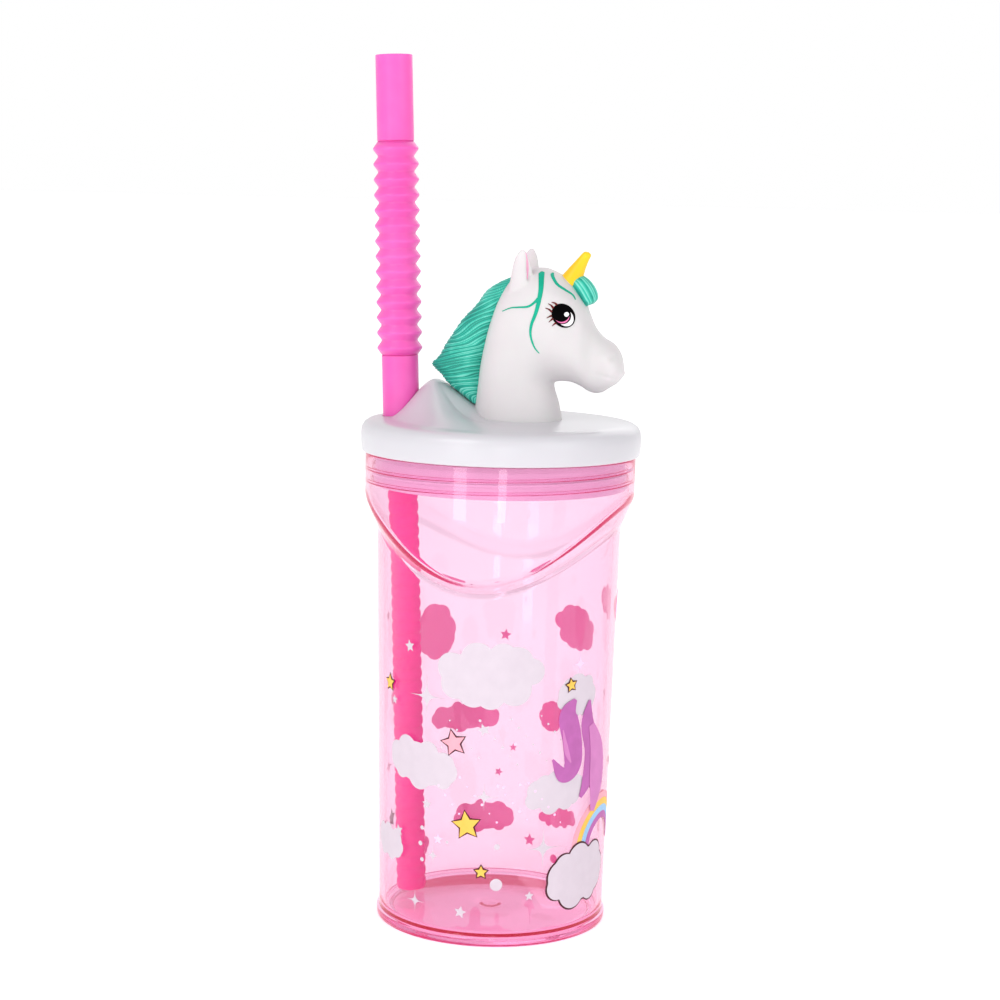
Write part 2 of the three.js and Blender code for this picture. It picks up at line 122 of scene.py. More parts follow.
# A grid closed at both ends: the mean point of its first and of its last row is added as a pole.
def capped(grid):
    first, last = (grid[row].mean(axis=0) + 0 * grid[:1] for row in (0, -1))
    return np.concatenate([first, grid, last])


def dressed(piece, body, slot, material, *nodes):
    piece.data.materials.clear()
    piece.data.materials.append(material)
    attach(piece, body)
    if nodes:
        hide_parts(*nodes)
    return piece


# Rows of given numbers are carried on a smooth curve through them: at each place the curve is a Catmull-Rom blend of
# the four nearest rows.
def smoothRows(rows, count):
    rows = np.array(rows, float)
    place = np.linspace(0, len(rows) - 1, count)
    base = np.clip(place.astype(int), 0, len(rows) - 2)
    t = (place - base)[:, None]
    p = [rows[np.clip(base + k, 0, len(rows) - 1)] for k in (-1, 0, 1, 2)]
    return 0.5 * (2 * p[1] + (p[2] - p[0]) * t + (2 * p[0] - 5 * p[1] + 4 * p[2] - p[3]) * t**2
                  + (3 * p[1] - p[0] - 3 * p[2] + p[3]) * t**3)


# A profile of (radius, height, cut) corners, where each corner is cut back by its third number and
# rounded with a quadratic curve. Radii and heights may be arrays round the circle.
def softProfile(corners, steps=5):
    size = max(np.size(value) for corner in corners for value in corner[:2])
    spots = [np.stack([np.broadcast_to(r, size), np.broadcast_to(z, size)], -1) for r, z, _ in corners]
    rows = [spots[0]]
    for before, spot, after, (_, _, cut) in zip(spots, spots[1:], spots[2:], corners[1:-1]):
        if not cut:
            rows.append(spot)
            continue
        into, out = before - spot, after - spot
        a = spot + into * cut / np.linalg.norm(into, axis=-1, keepdims=True)
        b = spot + out * cut / np.linalg.norm(out, axis=-1, keepdims=True)
        for t in np.linspace(0, 1, steps):
            rows.append((1 - t) ** 2 * a + 2 * t * (1 - t) * spot + t * t * b)
    rows.append(spots[-1])
    return np.array(rows)


# A profile of radii and heights is turned about Z: x = r cos a, y = r sin a.
def spun(profile, sides):
    turn = np.arange(sides) * 2 * np.pi / sides
    radius = np.broadcast_to(profile[..., 0], (len(profile), sides))
    height = np.broadcast_to(profile[..., 1], (len(profile), sides))
    return np.stack([radius * np.cos(turn), radius * np.sin(turn), height], -1)


def closedLoop(grid):
    return np.concatenate([grid, grid[:1]])


def newMaterial(name):
    material = bpy.data.materials.new(name)
    material.use_nodes = True
    nodes, links = material.node_tree.nodes, material.node_tree.links
    return material, nodes, links, nodes["Principled BSDF"]


def noise(nodes, links, scale, detail=3, source=None):
    place = nodes.new("ShaderNodeTexCoord")
    cloud = nodes.new("ShaderNodeTexNoise")
    cloud.inputs["Scale"].default_value = scale
    cloud.inputs["Detail"].default_value = detail
    links.new(source or place.outputs["Object"], cloud.inputs["Vector"])
    return cloud.outputs["Fac"]


def ramp(nodes, links, factor, stops):
    colours = nodes.new("ShaderNodeValToRGB")
    strip = colours.color_ramp
    while len(strip.elements) < len(stops):
        strip.elements.new(0.5)
    for element, (place, colour) in zip(strip.elements, stops):
        element.position = place
        element.color = (*colour, 1)
    links.new(factor, colours.inputs["Fac"])
    return colours.outputs["Color"]


def spread(nodes, links, factor, low, high):
    change = nodes.new("ShaderNodeMapRange")
    change.inputs["To Min"].default_value = low
    change.inputs["To Max"].default_value = high
    links.new(factor, change.inputs["Value"])
    return change.outputs["Result"]


# Moulded plastic or vinyl: two close colours in soft clouds, gloss that drifts, and a fine bump.
def mouldedFinish(name, look):
    material, nodes, links, shader = newMaterial(name)
    clouds = noise(nodes, links, look["cloudScale"])
    grain = noise(nodes, links, look["grainScale"], 2)
    colour = ramp(nodes, links, clouds, [(0.3, look["shade"]), (0.7, look["colour"])])
    links.new(colour, shader.inputs["Base Color"])
    rough = spread(nodes, links, clouds, look["gloss"][0], look["gloss"][1])
    links.new(rough, shader.inputs["Roughness"])
    bump = nodes.new("ShaderNodeBump")
    bump.inputs["Strength"].default_value = look["bump"]
    bump.inputs["Distance"].default_value = 0.0001
    links.new(grain, bump.inputs["Height"])
    links.new(bump.outputs["Normal"], shader.inputs["Normal"])
    shader.inputs["Metallic"].default_value = look.get("metal", 0)
    shader.inputs["Coat Weight"].default_value = look.get("coat", 0)
    shader.inputs["Coat Roughness"].default_value = 0.08
    shader.inputs["Subsurface Weight"].default_value = look.get("glow", 0)
    shader.inputs["Subsurface Radius"].default_value = look.get("glowReach", (0.004, 0.002, 0.003))
    shader.inputs["Subsurface Scale"].default_value = 1
    shader.inputs["Specular IOR Level"].default_value = look.get("shine", 0.5)
    # An emission in the surface's own colour at the strength lit: on the floor it makes an evenly bright floor, on a
    # print it is painted light.
    shader.inputs["Emission Color"].default_value = (*look["colour"], 1)
    shader.inputs["Emission Strength"].default_value = look.get("lit", 0)
    return material


# Clear tinted plastic: light bends at the skin and is tinted along its way through the wall, and lamps shine through it
# instead of throwing a black shadow. Rays that have bounced many times see a pink emission instead of the plastic:
# painted light that gives the thick edges their deep pink.
def clearFinish(name, look):
    material, nodes, links, shader = newMaterial(name)
    shader.inputs["Transmission Weight"].default_value = 1
    shader.inputs["IOR"].default_value = look["bending"]
    clouds = noise(nodes, links, 60)
    links.new(spread(nodes, links, clouds, *look["gloss"]), shader.inputs["Roughness"])
    colour = ramp(nodes, links, clouds, [(0.3, look["skinShade"]), (0.7, look["skin"])])
    links.new(colour, shader.inputs["Base Color"])
    output = nodes["Material Output"]
    through = nodes.new("ShaderNodeBsdfTransparent")
    through.inputs["Color"].default_value = (*look["shadow"], 1)
    path = nodes.new("ShaderNodeLightPath")
    mix = nodes.new("ShaderNodeMixShader")
    passing = nodes.new("ShaderNodeMath")
    passing.operation = "MAXIMUM"
    links.new(path.outputs["Is Shadow Ray"], passing.inputs[0])
    links.new(path.outputs["Is Diffuse Ray"], passing.inputs[1])
    links.new(passing.outputs["Value"], mix.inputs["Fac"])
    # Painted light: a hot pink emission takes the plastic's place once a ray's depth, with glossy bounces weighted,
    # passes a limit.
    paintedEdgeLight = nodes.new("ShaderNodeEmission")
    paintedEdgeLight.inputs["Color"].default_value = (*look["paintedEdgeColour"], 1)
    paintedEdgeLight.inputs["Strength"].default_value = look["glowStrength"]
    count = nodes.new("ShaderNodeMath")
    count.operation = "MULTIPLY_ADD"
    count.inputs[1].default_value = look["mirrorWeight"]
    links.new(path.outputs["Glossy Depth"], count.inputs[0])
    links.new(path.outputs["Ray Depth"], count.inputs[2])
    deep = nodes.new("ShaderNodeMath")
    deep.operation = "GREATER_THAN"
    deep.inputs[1].default_value = look["glowBounces"]
    links.new(count.outputs["Value"], deep.inputs[0])
    paintedEdgeMix = nodes.new("ShaderNodeMixShader")
    links.new(deep.outputs["Value"], paintedEdgeMix.inputs["Fac"])
    links.new(shader.outputs["BSDF"], paintedEdgeMix.inputs[1])
    links.new(paintedEdgeLight.outputs["Emission"], paintedEdgeMix.inputs[2])
    links.new(paintedEdgeMix.outputs["Shader"], mix.inputs[1])
    links.new(through.outputs["BSDF"], mix.inputs[2])
    links.new(mix.outputs["Shader"], output.inputs["Surface"])
    tint = nodes.new("ShaderNodeVolumeAbsorption")
    tint.inputs["Color"].default_value = (*look["tint"], 1)
    tint.inputs["Density"].default_value = look["depth"]
    links.new(tint.outputs["Volume"], output.inputs["Volume"])
    return material


# Hair colour, read from the mesh's own layers: darker in the combed grooves, painted shade, and lighter on the ridges,
# painted highlight, broken by random patches of a noise; towards the root it is darker still, painted shade where the
# hair meets the neck.
def hairFinish(name, look):
    material, nodes, links, shader = newMaterial(name)
    grooveAndShade = nodes.new("ShaderNodeAttribute")
    grooveAndShade.attribute_name = "grooveAndShade"
    reach = nodes.new("ShaderNodeAttribute")
    reach.attribute_name = "reach"
    clouds = noise(nodes, links, 130)
    patches = nodes.new("ShaderNodeMath")
    patches.operation = "ADD"
    links.new(grooveAndShade.outputs["Fac"], patches.inputs[0])
    links.new(spread(nodes, links, clouds, -0.8, 0.45), patches.inputs[1])
    # Painted shade in the grooves and painted highlight on the ridges, with random patches.
    combed = ramp(nodes, links, patches.outputs["Value"],
                  [(0.05, look["dark"]), (0.42, look["colour"]), (0.92, look["light"])])
    # Painted shade: the colour is darkened towards the root, where the hair meets the neck.
    tips = ramp(nodes, links, reach.outputs["Fac"], [(0.0, look["root"]), (0.4, (1, 1, 1))])
    mix = nodes.new("ShaderNodeMix")
    mix.data_type, mix.blend_type = "RGBA", "MULTIPLY"
    mix.inputs["Factor"].default_value = 1
    links.new(combed, mix.inputs["A"])
    links.new(tips, mix.inputs["B"])
    links.new(mix.outputs["Result"], shader.inputs["Base Color"])
    links.new(spread(nodes, links, clouds, 0.42, 0.58), shader.inputs["Roughness"])
    return material


def inkFinish(name, colour, shade):
    return mouldedFinish(name, {"colour": colour, "shade": shade, "cloudScale": 300, "grainScale": 2500,
                                "gloss": (0.45, 0.6), "bump": 0.05, "shine": 0.2})


clearPink = clearFinish("tintedClearPlastic", {
    "bending": 1.46, "gloss": (0.01, 0.03), "skin": (0.915, 0.9, 0.92), "skinShade": (0.905, 0.885, 0.905),
    "shadow": (0.98, 0.78, 0.9), "tint": (0.93, 0.22, 0.62), "depth": 150,
    # Colour, strength and bounce limit of the painted pink edge light.
    "paintedEdgeColour": (0.82, 0.0, 0.2), "glowStrength": 1.0, "glowBounces": 8.5, "mirrorWeight": 2.5,
})
lidWhite = mouldedFinish("glossyWhitePlastic", {
    "colour": (0.63, 0.62, 0.655), "shade": (0.6, 0.585, 0.625), "cloudScale": 30, "grainScale": 900,
    "gloss": (0.28, 0.36), "bump": 0.03, "coat": 0.12, "glow": 0.1,
})
plugWhite = mouldedFinish("whitePlugPlastic", {
    "colour": (0.86, 0.83, 0.86), "shade": (0.8, 0.77, 0.81), "cloudScale": 60, "grainScale": 1200,
    "gloss": (0.3, 0.42), "bump": 0.08,
})
silicone = mouldedFinish("softSilicone", {
    "colour": (0.8, 0.77, 0.8), "shade": (0.74, 0.7, 0.74), "cloudScale": 120, "grainScale": 2200,
    "gloss": (0.5, 0.65), "bump": 0.15,
})
strawPink = mouldedFinish("strawPlastic", {
    "colour": (1.0, 0.12, 0.5), "shade": (0.96, 0.09, 0.45), "cloudScale": 80, "grainScale": 1500,
    "gloss": (0.3, 0.42), "bump": 0.06, "glow": 0.35,
})
tubePink = mouldedFinish("strawTubePlastic", {
    "colour": (1.0, 0.0, 0.4), "shade": (0.95, 0.0, 0.36), "cloudScale": 80, "grainScale": 1500,
    "gloss": (0.4, 0.5), "bump": 0.06, "shine": 0.12,
})
vinylWhite = mouldedFinish("softWhiteVinyl", {
    "colour": (0.69, 0.665, 0.672), "shade": (0.665, 0.635, 0.645), "cloudScale": 90, "grainScale": 3000,
    "gloss": (0.5, 0.62), "bump": 0.12, "glow": 0.2,
})
hornYellow = mouldedFinish("paintedHornVinyl", {
    "colour": (1.0, 0.62, 0.0), "shade": (0.96, 0.55, 0.0), "cloudScale": 150, "grainScale": 2500,
    "gloss": (0.4, 0.5), "bump": 0.1,
})
# The dark and light colours are painted shade in the grooves and painted highlight on the ridges; the root colour
# darkens the hair by the neck as painted shade.
hairTeal = hairFinish("paintedManeVinyl", {
    "colour": (0.014, 0.52, 0.38), "dark": (0.0, 0.26, 0.2), "light": (0.24, 0.74, 0.63), "root": (0.25, 0.75, 0.7),
})
steel = mouldedFinish("platedSteel", {
    "colour": (0.62, 0.63, 0.65), "shade": (0.5, 0.51, 0.54), "cloudScale": 400, "grainScale": 4000,
    "gloss": (0.22, 0.38), "bump": 0.2, "metal": 1,
})
print("materials made")


cup = {
    "height": 132.2, "footRadius": 32.5, "footHeight": 2.3, "lowRadius": 31.8, "highRadius": 34.1,
    "collarRadius": 37.7, "wall": 1.6, "floor": 3.0, "recess": 0.9, "ringWidth": 3.6,
    "swoopSide": (121.0, 112.5), "swoopFront": (100.5, 97.2), "swoopPower": 2.4,
    "threadPitch": 3.4, "threadWidth": 1.1, "threadDepth": 0.8, "threadTurns": 1.75, "threadHigh": 129.35,
    "nubRadius": 3.0, "nubDrop": 0.5, "sides": 288,
}


# Outer radius of the tapered body at a height.
def bodyRadius(height):
    share = (height - cup["footHeight"]) / (cup["swoopSide"][1] - cup["footHeight"])
    return cup["lowRadius"] + (cup["highRadius"] - cup["lowRadius"]) * share


# The shoulder's height round the cup falls from the sides to the front and back by a power of |sin a|.
def swoop(which, angle):
    side, front = cup["swoopSide"][which], cup["swoopFront"][which]
    return side - (side - front) * np.abs(np.sin(angle)) ** cup["swoopPower"]


# A thread ridge: a flat-topped section carried down a helix, z = top - pitch * turns, that fades at
# both ends.
def threadRidge(root, crest, top, turns):
    wound = np.linspace(0, turns, int(turns * 260))[:, None]
    section = softProfile([(root, 0, 0), (root, -0.5, 0), (crest, -0.3, 0.12), (crest, 0.3, 0.12), (root, 0.5, 0),
                           (root, 0.02, 0)], 4)[:, 0]
    fade = np.clip(np.minimum(wound, turns - wound) / 0.03, 0.02, 1)
    radius = root + (section[None, :, 0] - root) * fade
    height = top - cup["threadPitch"] * wound + section[None, :, 1] * cup["threadWidth"] * (0.4 + 0.6 * fade)
    angle = -2 * np.pi * wound
    grid = np.stack([radius * np.cos(angle), radius * np.sin(angle), height], -1)
    return capped(grid)


# The cup in one piece: the section outside and inside, turned round with its shoulder following the
# swoop, and the thread ridge joined to the bore.
def makeCup():
    angle = np.arange(cup["sides"]) * 2 * np.pi / cup["sides"]
    high, low = swoop(0, angle), swoop(1, angle)
    waist, collar, wall = bodyRadius(low), cup["collarRadius"], cup["wall"]
    bore = collar - wall
    foot, ring = cup["footRadius"], cup["ringWidth"]
    nub = cup["nubRadius"]
    outside = softProfile([
        (0, cup["recess"] - cup["nubDrop"], 0), (nub * 0.7, cup["recess"] - cup["nubDrop"], 0.3),
        (nub, cup["recess"], 0.3), (foot - ring - 0.9, cup["recess"], 0.4), (foot - ring, 0, 0.4),
        (foot, 0, 0.7), (foot, cup["footHeight"], 0.35), (bodyRadius(2.8), 2.8, 0.3), (bodyRadius(3.4), 3.4, 0),
        (waist, low, 1.3), (collar, high, 1.3), (collar, cup["height"], 0.35), (bore, cup["height"], 0.35),
        (bore, 131, 0),
    ])
    lift = 0.8
    inside = softProfile([
        (bore, 122.5, 0), (bore, high + lift, 1.3), (waist - wall, low + lift, 1.3),
        (bodyRadius(6) - wall, 6, 0), (bodyRadius(3) - wall, cup["floor"], 1.4),
        (nub, cup["floor"], 0), (0, cup["floor"], 0),
    ])
    piece = gridObject("cup_shell", [spun(np.concatenate([outside, inside]), cup["sides"])], sharp=50)
    ridge = threadRidge(bore + 0.2, bore - cup["threadDepth"], cup["threadHigh"], cup["threadTurns"])
    return combined(piece, gridObject("cup_thread", [ridge]), "UNION")


dressed(makeCup(), "cup", "clear_pink", clearPink, "cup")
print("cup made")


lid = {
    "rim": 37.9, "bulge": 1.1, "crown": 0.65, "deckEdge": 34.0, "wall": 1.8, "neckX": 4.0,
    "waveHeight": 9.9, "waveCrest": 21.5, "waveFoot": 35.0, "waveStart": 6.0, "waveSpread": 33.0,
    "plugRadius": 35.05, "plugLow": 123.3, "plugWall": 1.4, "plugFloor": 1.6, "flange": 1.8,
    "threadHigh": 128.0, "threadTurns": 1.06, "sides": 360,
}


# The wave behind the neck: its height is the softer of a ramp that climbs from the neck and a cosine
# that falls to a foot beside the straw, and it dies away to both sides as a bell curve, slower outside.
def waveAt(x, y):
    reach = np.hypot(x - lid["neckX"], y)
    turn = np.degrees(np.abs(np.arctan2(y, lid["neckX"] - x)))
    crest = lid["waveCrest"] - 4.5 * (1 - np.exp(-((turn / 32) ** 2)))
    climb = (reach - lid["waveStart"]) / (crest - lid["waveStart"])
    fall = np.clip((reach - crest) / (lid["waveFoot"] - crest), -0.6, 1)
    drop = np.maximum(np.cos(np.pi / 2 * fall), 0) ** 1.6 * np.where(fall < 0, 1 + 0.8 * fall**2, 1) + 0.06 * (1 - fall) ** 2
    soft = -0.11 * np.log(np.exp(-np.clip(climb, -1, 3) / 0.11) + np.exp(-drop / 0.11))
    bell = np.exp(-((turn / (lid["waveSpread"] + 42 * np.clip(fall, 0, 1))) ** 2))
    foot = np.clip((lid["waveFoot"] + 1.5 - reach) / 4, 0, 1)
    return lid["waveHeight"] * 1.06 * bell * np.clip(soft, 0, None) * foot * foot * (3 - 2 * foot)


def leaning(grid):
    tilt = math.radians(straw["lean"])
    x, y, z = grid[..., 0], grid[..., 1], grid[..., 2]
    return np.stack([x * math.cos(tilt) - z * math.sin(tilt) + straw["footX"], y,
                     x * math.sin(tilt) + z * math.cos(tilt)], -1)


straw = {
    "lean": 2.2, "footX": -23.03, "radius": 5.1, "wall": 0.75, "top": 241.0, "bottom": 5.6,
    "shankLow": 134.0, "bellowsLow": 158.5, "bellowsHigh": 217.6, "folds": 14, "peak": 6.45, "valley": 4.9,
    "tubePeak": 4.3, "tubeValley": 3.9, "tubeBore": 3.3, "ripples": 37, "socketHigh": 145.7,
    "grommet": 5.15, "sides": 96,
}


def strawHole(radius, low, high):
    profile = np.array([(0, low), (radius, low), (radius, high), (0, high)], float)[:, None, :]
    return gridObject("strawHole", [leaning(spun(profile, 64))])


def makeLidCap():
    rim, bulge = lid["rim"], lid["bulge"]
    flat = np.concatenate([[0], np.linspace(0.8, lid["deckEdge"], 76)])[:, None]
    crown = deck - lid["crown"] * (flat / lid["deckEdge"]) ** 3
    edge = softProfile([
        (lid["deckEdge"] + 0.3, deck - 0.7, 0), (rim + bulge, deck - 0.95, 3.6), (rim + bulge, lidLow + 2.4, 1.5),
        (rim + bulge * 0.7, lidLow, 0.35), (rim - lid["wall"], lidLow, 0.25),
        (rim - lid["wall"], deck - 4.5, 1.0), (lid["deckEdge"] - 2.5, deck - lid["wall"] - 0.6, 1.0),
    ])
    top = np.concatenate([np.stack([flat, crown], -1), edge])
    under = np.stack([flat[66::-3], crown[66::-3] - lid["wall"]], -1)
    profile = np.concatenate([top, under, np.array([[[0.0, deck - lid["wall"]]]])])
    grid = spun(profile, lid["sides"])
    raised = np.ones(len(profile))
    raised[len(flat):len(top)] = 0
    grid[..., 2] += waveAt(grid[..., 0], grid[..., 1]) * raised[:, None]
    piece = gridObject("lid_shell", [grid], sharp=45)
    combined(piece, strawHole(straw["radius"] + 0.3, 128, 160), "DIFFERENCE")
    return piece


def makeLidPlug():
    radius, low, floor = lid["plugRadius"], lid["plugLow"], lid["plugFloor"]
    flange = lid["rim"] - lid["wall"] - 0.3
    profile = softProfile([
        (0, low, 0), (radius - 1, low, 0), (radius, low, 0.45), (radius, lidLow, 0.2), (flange, lidLow, 0.2),
        (flange, lidLow + lid["flange"], 0.2), (radius - lid["plugWall"], lidLow + lid["flange"], 0.3),
        (radius - lid["plugWall"], low + floor, 0.6), (20, low + floor, 0), (0, low + floor, 0),
    ])
    piece = gridObject("lid_inner_plug", [spun(profile, cup["sides"])])
    combined(piece, strawHole(straw["grommet"] + 0.3, 100, 128), "DIFFERENCE")
    ridge = threadRidge(radius - 0.2, radius + cup["threadDepth"], lid["threadHigh"], lid["threadTurns"])
    return combined(piece, gridObject("plug_thread", [ridge]), "UNION")


def makeSealRing():
    ring = softProfile([
        (35.5, 131.5, 0), (35.2, 132.2, 0.2), (35.9, 132.2, 0.3), (35.9, 130.7, 0.3), (35.2, 130.7, 0.2), (35.5, 131.5, 0),
    ])[1:-1]
    return gridObject("lid_seal_ring", [spun(closedLoop(ring), 192)])


def makeGrommet():
    hole, sleeve, lip = straw["tubePeak"] + 0.25, straw["grommet"], straw["grommet"] + 0.4
    ring = softProfile([
        (hole, 124, 0), (hole, 121.8, 0.3), (lip, 121.8, 0.4), (lip, 123.05, 0.2), (sleeve, 123.05, 0.1),
        (sleeve, 125.2, 0.1), (lip, 125.2, 0.2), (lip, 126.5, 0.4), (sleeve - 0.3, 128.3, 0.3), (hole, 128.3, 0.2),
        (hole, 124, 0),
    ])[:-1]
    return gridObject("straw_seal_sleeve", [leaning(spun(closedLoop(ring), 72))])


dressed(makeLidCap(), "lid", "lid_white", lidWhite, "lid_cap")
dressed(makeLidPlug(), "lid", "plug_white", plugWhite, "lid_plug")
dressed(makeSealRing(), "seal", "silicone", silicone, "lid_gasket")
dressed(makeGrommet(), "lid", "silicone", silicone, "straw_grommet")
print("lid made")


# A thin pipe: an outer wall of rounded ripples, a plain socket end, and the bore back down.
def makeTube():
    low, high = straw["bottom"], straw["shankLow"] - 3.3
    share = np.linspace(0, straw["ripples"], straw["ripples"] * 8 + 1)
    hump = 1 - np.abs(2 * np.mod(share, 1) - 1) ** 2.6
    wave = straw["tubeValley"] + (straw["tubePeak"] - straw["tubeValley"]) * hump
    outside = np.stack([wave, low + (high - low) * share / straw["ripples"]], -1)[:, None, :]
    plugged = straw["radius"] - straw["wall"] - 0.3
    inside = softProfile([
        (plugged, high + 1, 0), (plugged, straw["socketHigh"], 0.2), (straw["tubeBore"], straw["socketHigh"], 0.2),
        (straw["tubeBore"], low, 0.2), (straw["tubeValley"], low, 0),
    ])[:-1]
    grid = spun(closedLoop(np.concatenate([outside, inside])), straw["sides"])
    return gridObject("straw_rippled_tube", [leaning(grid)], sharp=60)


def pipeLength(name, low, high, lip):
    inner, outer = straw["radius"] - straw["wall"], straw["radius"]
    middle = (low + high) / 2
    ring = softProfile([
        (inner, middle, 0), (inner, low, lip), (outer, low, lip), (outer, middle, 0), (outer, high, lip),
        (inner, high, lip), (inner, middle, 0),
    ])[:-1]
    return gridObject(name, [leaning(spun(closedLoop(ring), straw["sides"]))], sharp=60)


# The folds zigzag between a peak and a valley radius, with rounded corners, and the wall follows inside.
def makeBellows():
    low, high, folds = straw["bellowsLow"], straw["bellowsHigh"], straw["folds"]
    pitch = (high - low) / folds
    outer, inner = [], []
    for fold in range(folds):
        peak, valley = low + (fold + 0.5) * pitch, low + fold * pitch
        outer += [(straw["valley"], valley, 0.45 if fold else 0), (straw["peak"], peak, 0.55)]
        inner += [(straw["valley"] - straw["wall"], valley, 0.45 if fold else 0),
                  (straw["peak"] - straw["wall"], peak, 0.4)]
    outer.append((straw["valley"], high, 0))
    inner.append((straw["valley"] - straw["wall"], high, 0))
    ring = np.concatenate([softProfile(outer, 4), softProfile(inner[::-1], 4)])
    return gridObject("straw_folds", [leaning(spun(closedLoop(ring), straw["sides"]))], sharp=70)


dressed(makeTube(), "straw_lower", "straw_pink", tubePink, "straw_tube")
dressed(pipeLength("straw_lower_shank", straw["shankLow"], straw["bellowsLow"], 0.12),
        "straw_upper", "straw_pink", strawPink, "straw_shank")
folds = dressed(makeBellows(), "straw_upper", "straw_pink", strawPink, "straw_bellows")
dressed(pipeLength("straw_mouth_end", straw["bellowsHigh"], straw["top"], 0.25),
        "straw_top", "straw_pink", strawPink, "straw_mouthpiece")
print("straw made")


# Each row is one section of the fan from the neck to the nose, measured from the neck's axis and the
# deck: back x, back height, throat x, throat height, half width.
head = {
    "sections": [
        (-11.6, -4, 13.6, -4, 11.8), (-11.2, 4, 12, 4, 11.2), (-10.7, 10, 10.7, 8.2, 10.6),
        (-10, 16.5, 10.4, 9.8, 10.4), (-8.4, 25, 10.8, 10.4, 10.6), (-5.9, 32.6, 11.6, 10.7, 11),
        (-2, 38.2, 12.6, 10.8, 11.4), (3, 41.2, 13.8, 10.8, 11.6), (7.5, 41.8, 15, 10.7, 11.6),
        (12, 40, 16.2, 10.4, 11.3), (15.6, 37, 17.4, 9.9, 10.8), (18.2, 33.6, 18.6, 9.3, 10),
        (20, 29.4, 19.8, 8.5, 8.8), (21.6, 26, 21, 8, 7.8), (24, 23.3, 22.4, 7.8, 7.2),
        (27, 21.4, 24, 8.1, 7.1), (29, 18.4, 25.8, 9.2, 6.6), (29.7, 15, 28, 10.6, 4.4),
    ],
    "nose": (29.7, 13.2), "rows": 150, "sides": 144, "squareness": 2.25,
    "earX": 2, "earFoot": 32.5, "earLength": 14.6, "earMouth": 0.45,
    "hornX": 14.4, "hornFoot": 38, "hornLean": 24, "hornLength": 9.6, "hornRadius": 3.2, "hornTip": 1.15,
    "hornBow": 0.9, "cell": 0.27, "blend": 7, "paint": 0.12,
}


# A ring round each section: the section line is one half axis, the half width across it the other,
# both as a superellipse.
def fanGrid(rows, sides, squareness):
    turn = np.arange(sides) * 2 * np.pi / sides
    c, s = np.cos(turn), np.sin(turn)
    along = np.sign(c) * np.abs(c) ** (2 / squareness)
    across = np.sign(s) * np.abs(s) ** (2 / squareness)
    backX, backZ, frontX, frontZ, half = rows.T[:, :, None]
    x = lid["neckX"] + (backX + frontX) / 2 + (backX - frontX) / 2 * along
    z = deck + (backZ + frontZ) / 2 + (backZ - frontZ) / 2 * along
    return np.stack([x, half * across, z], -1)


def bump(grid, x, z, wide, tall, turn=0):
    c, s = math.cos(math.radians(turn)), math.sin(math.radians(turn))
    u = (grid[..., 0] - x) * c + (grid[..., 2] - z) * s
    v = (grid[..., 2] - z) * c - (grid[..., 0] - x) * s
    return np.exp(-((u / wide) ** 2) - (v / tall) ** 2)


# The fan's sides are pushed out or in by soft bumps: jowl, brow, temple, nostril, lip and mouth.
def headGrid():
    grid = fanGrid(smoothRows(head["sections"], head["rows"]), head["sides"], head["squareness"])
    out = (0.9 * bump(grid, 12, 160, 7, 7) + 0.5 * bump(grid, 18, 172, 4.5, 4)
           - 0.8 * bump(grid, 22.5, 165, 4, 6, 40) - 0.5 * bump(grid, 3, 166, 5, 10)
           + 0.5 * bump(grid, 30, 159, 3.5, 3) - 0.9 * bump(grid, 31.3, 160.3, 1.1, 0.7, 40)
           + 0.35 * bump(grid, 30.6, 161.2, 1.8, 1.0, 40) - 0.45 * bump(grid, 31, 154.6, 3.4, 0.35, -12)
           + 0.3 * bump(grid, 17, 176.3, 4, 1.2, -15))
    side = grid[..., 1] / np.maximum(np.abs(grid[..., 1]).max(axis=1, keepdims=True), 1e-6)
    grid[..., 1] += out * np.sign(side) * np.abs(side) ** 0.7
    tipX, tipZ = lid["neckX"] + head["nose"][0], deck + head["nose"][1]
    first, last = grid[:1].mean(axis=1, keepdims=True), np.array([[[tipX, 0, tipZ]]])
    closing = grid[-1:] + (last - grid[-1:]) * np.array([0.5, 0.8])[:, None, None]
    closing[..., 0] += np.array([0.25, 0.35])[:, None]
    return np.concatenate([np.broadcast_to(first, grid[:1].shape), grid, closing,
                           np.broadcast_to(last + [0.4, 0, 0], grid[:1].shape)])


# A leaf standing on the skull: rings that narrow to a round tip and flare into the head below, pressed in
# along their front to a cup that faces forwards and outwards.
def earSurface(side, share, turn):
    wide = 3.05 * np.clip(1 - share**4.5, 0, 1) ** 0.75 + 2.6 * (1 - share) ** 3.2
    deep = 1.8 * np.clip(1 - share**2.6, 0, 1) ** 0.8 + 1.6 * (1 - share) ** 3
    off = np.angle(np.exp(1j * (turn - side * head["earMouth"])))
    mouth = np.exp(-((off / 0.6) ** 2)) * np.sin(np.pi * np.clip(share, 0, 1)) ** 0.7
    x = lid["neckX"] + head["earX"] + 0.1 * share + wide * np.cos(turn) * (1 - 0.62 * mouth)
    y = side * (4.4 + 4.4 * share**0.85) + deep * np.sin(turn) * (1 - 0.3 * mouth)
    z = deck + head["earFoot"] + head["earLength"] * share + 0 * turn
    return np.stack([x, y, z], -1)


# A patch is dropped on the head, lifted a little, and made a film of paint.
def filmed(piece, method, lift):
    drop = piece.modifiers.new("drop", "SHRINKWRAP")
    drop.target, drop.wrap_method, drop.offset = bpy.data.objects["unicorn_head_skin"], method, lift * mm
    if method == "PROJECT":
        drop.use_project_x = drop.use_project_z = False
        drop.use_project_y = drop.use_positive_direction = drop.use_negative_direction = True
    applied(piece)
    film = piece.modifiers.new("film", "SOLIDIFY")
    film.thickness, film.offset = head["paint"] * mm, 0
    return applied(piece)


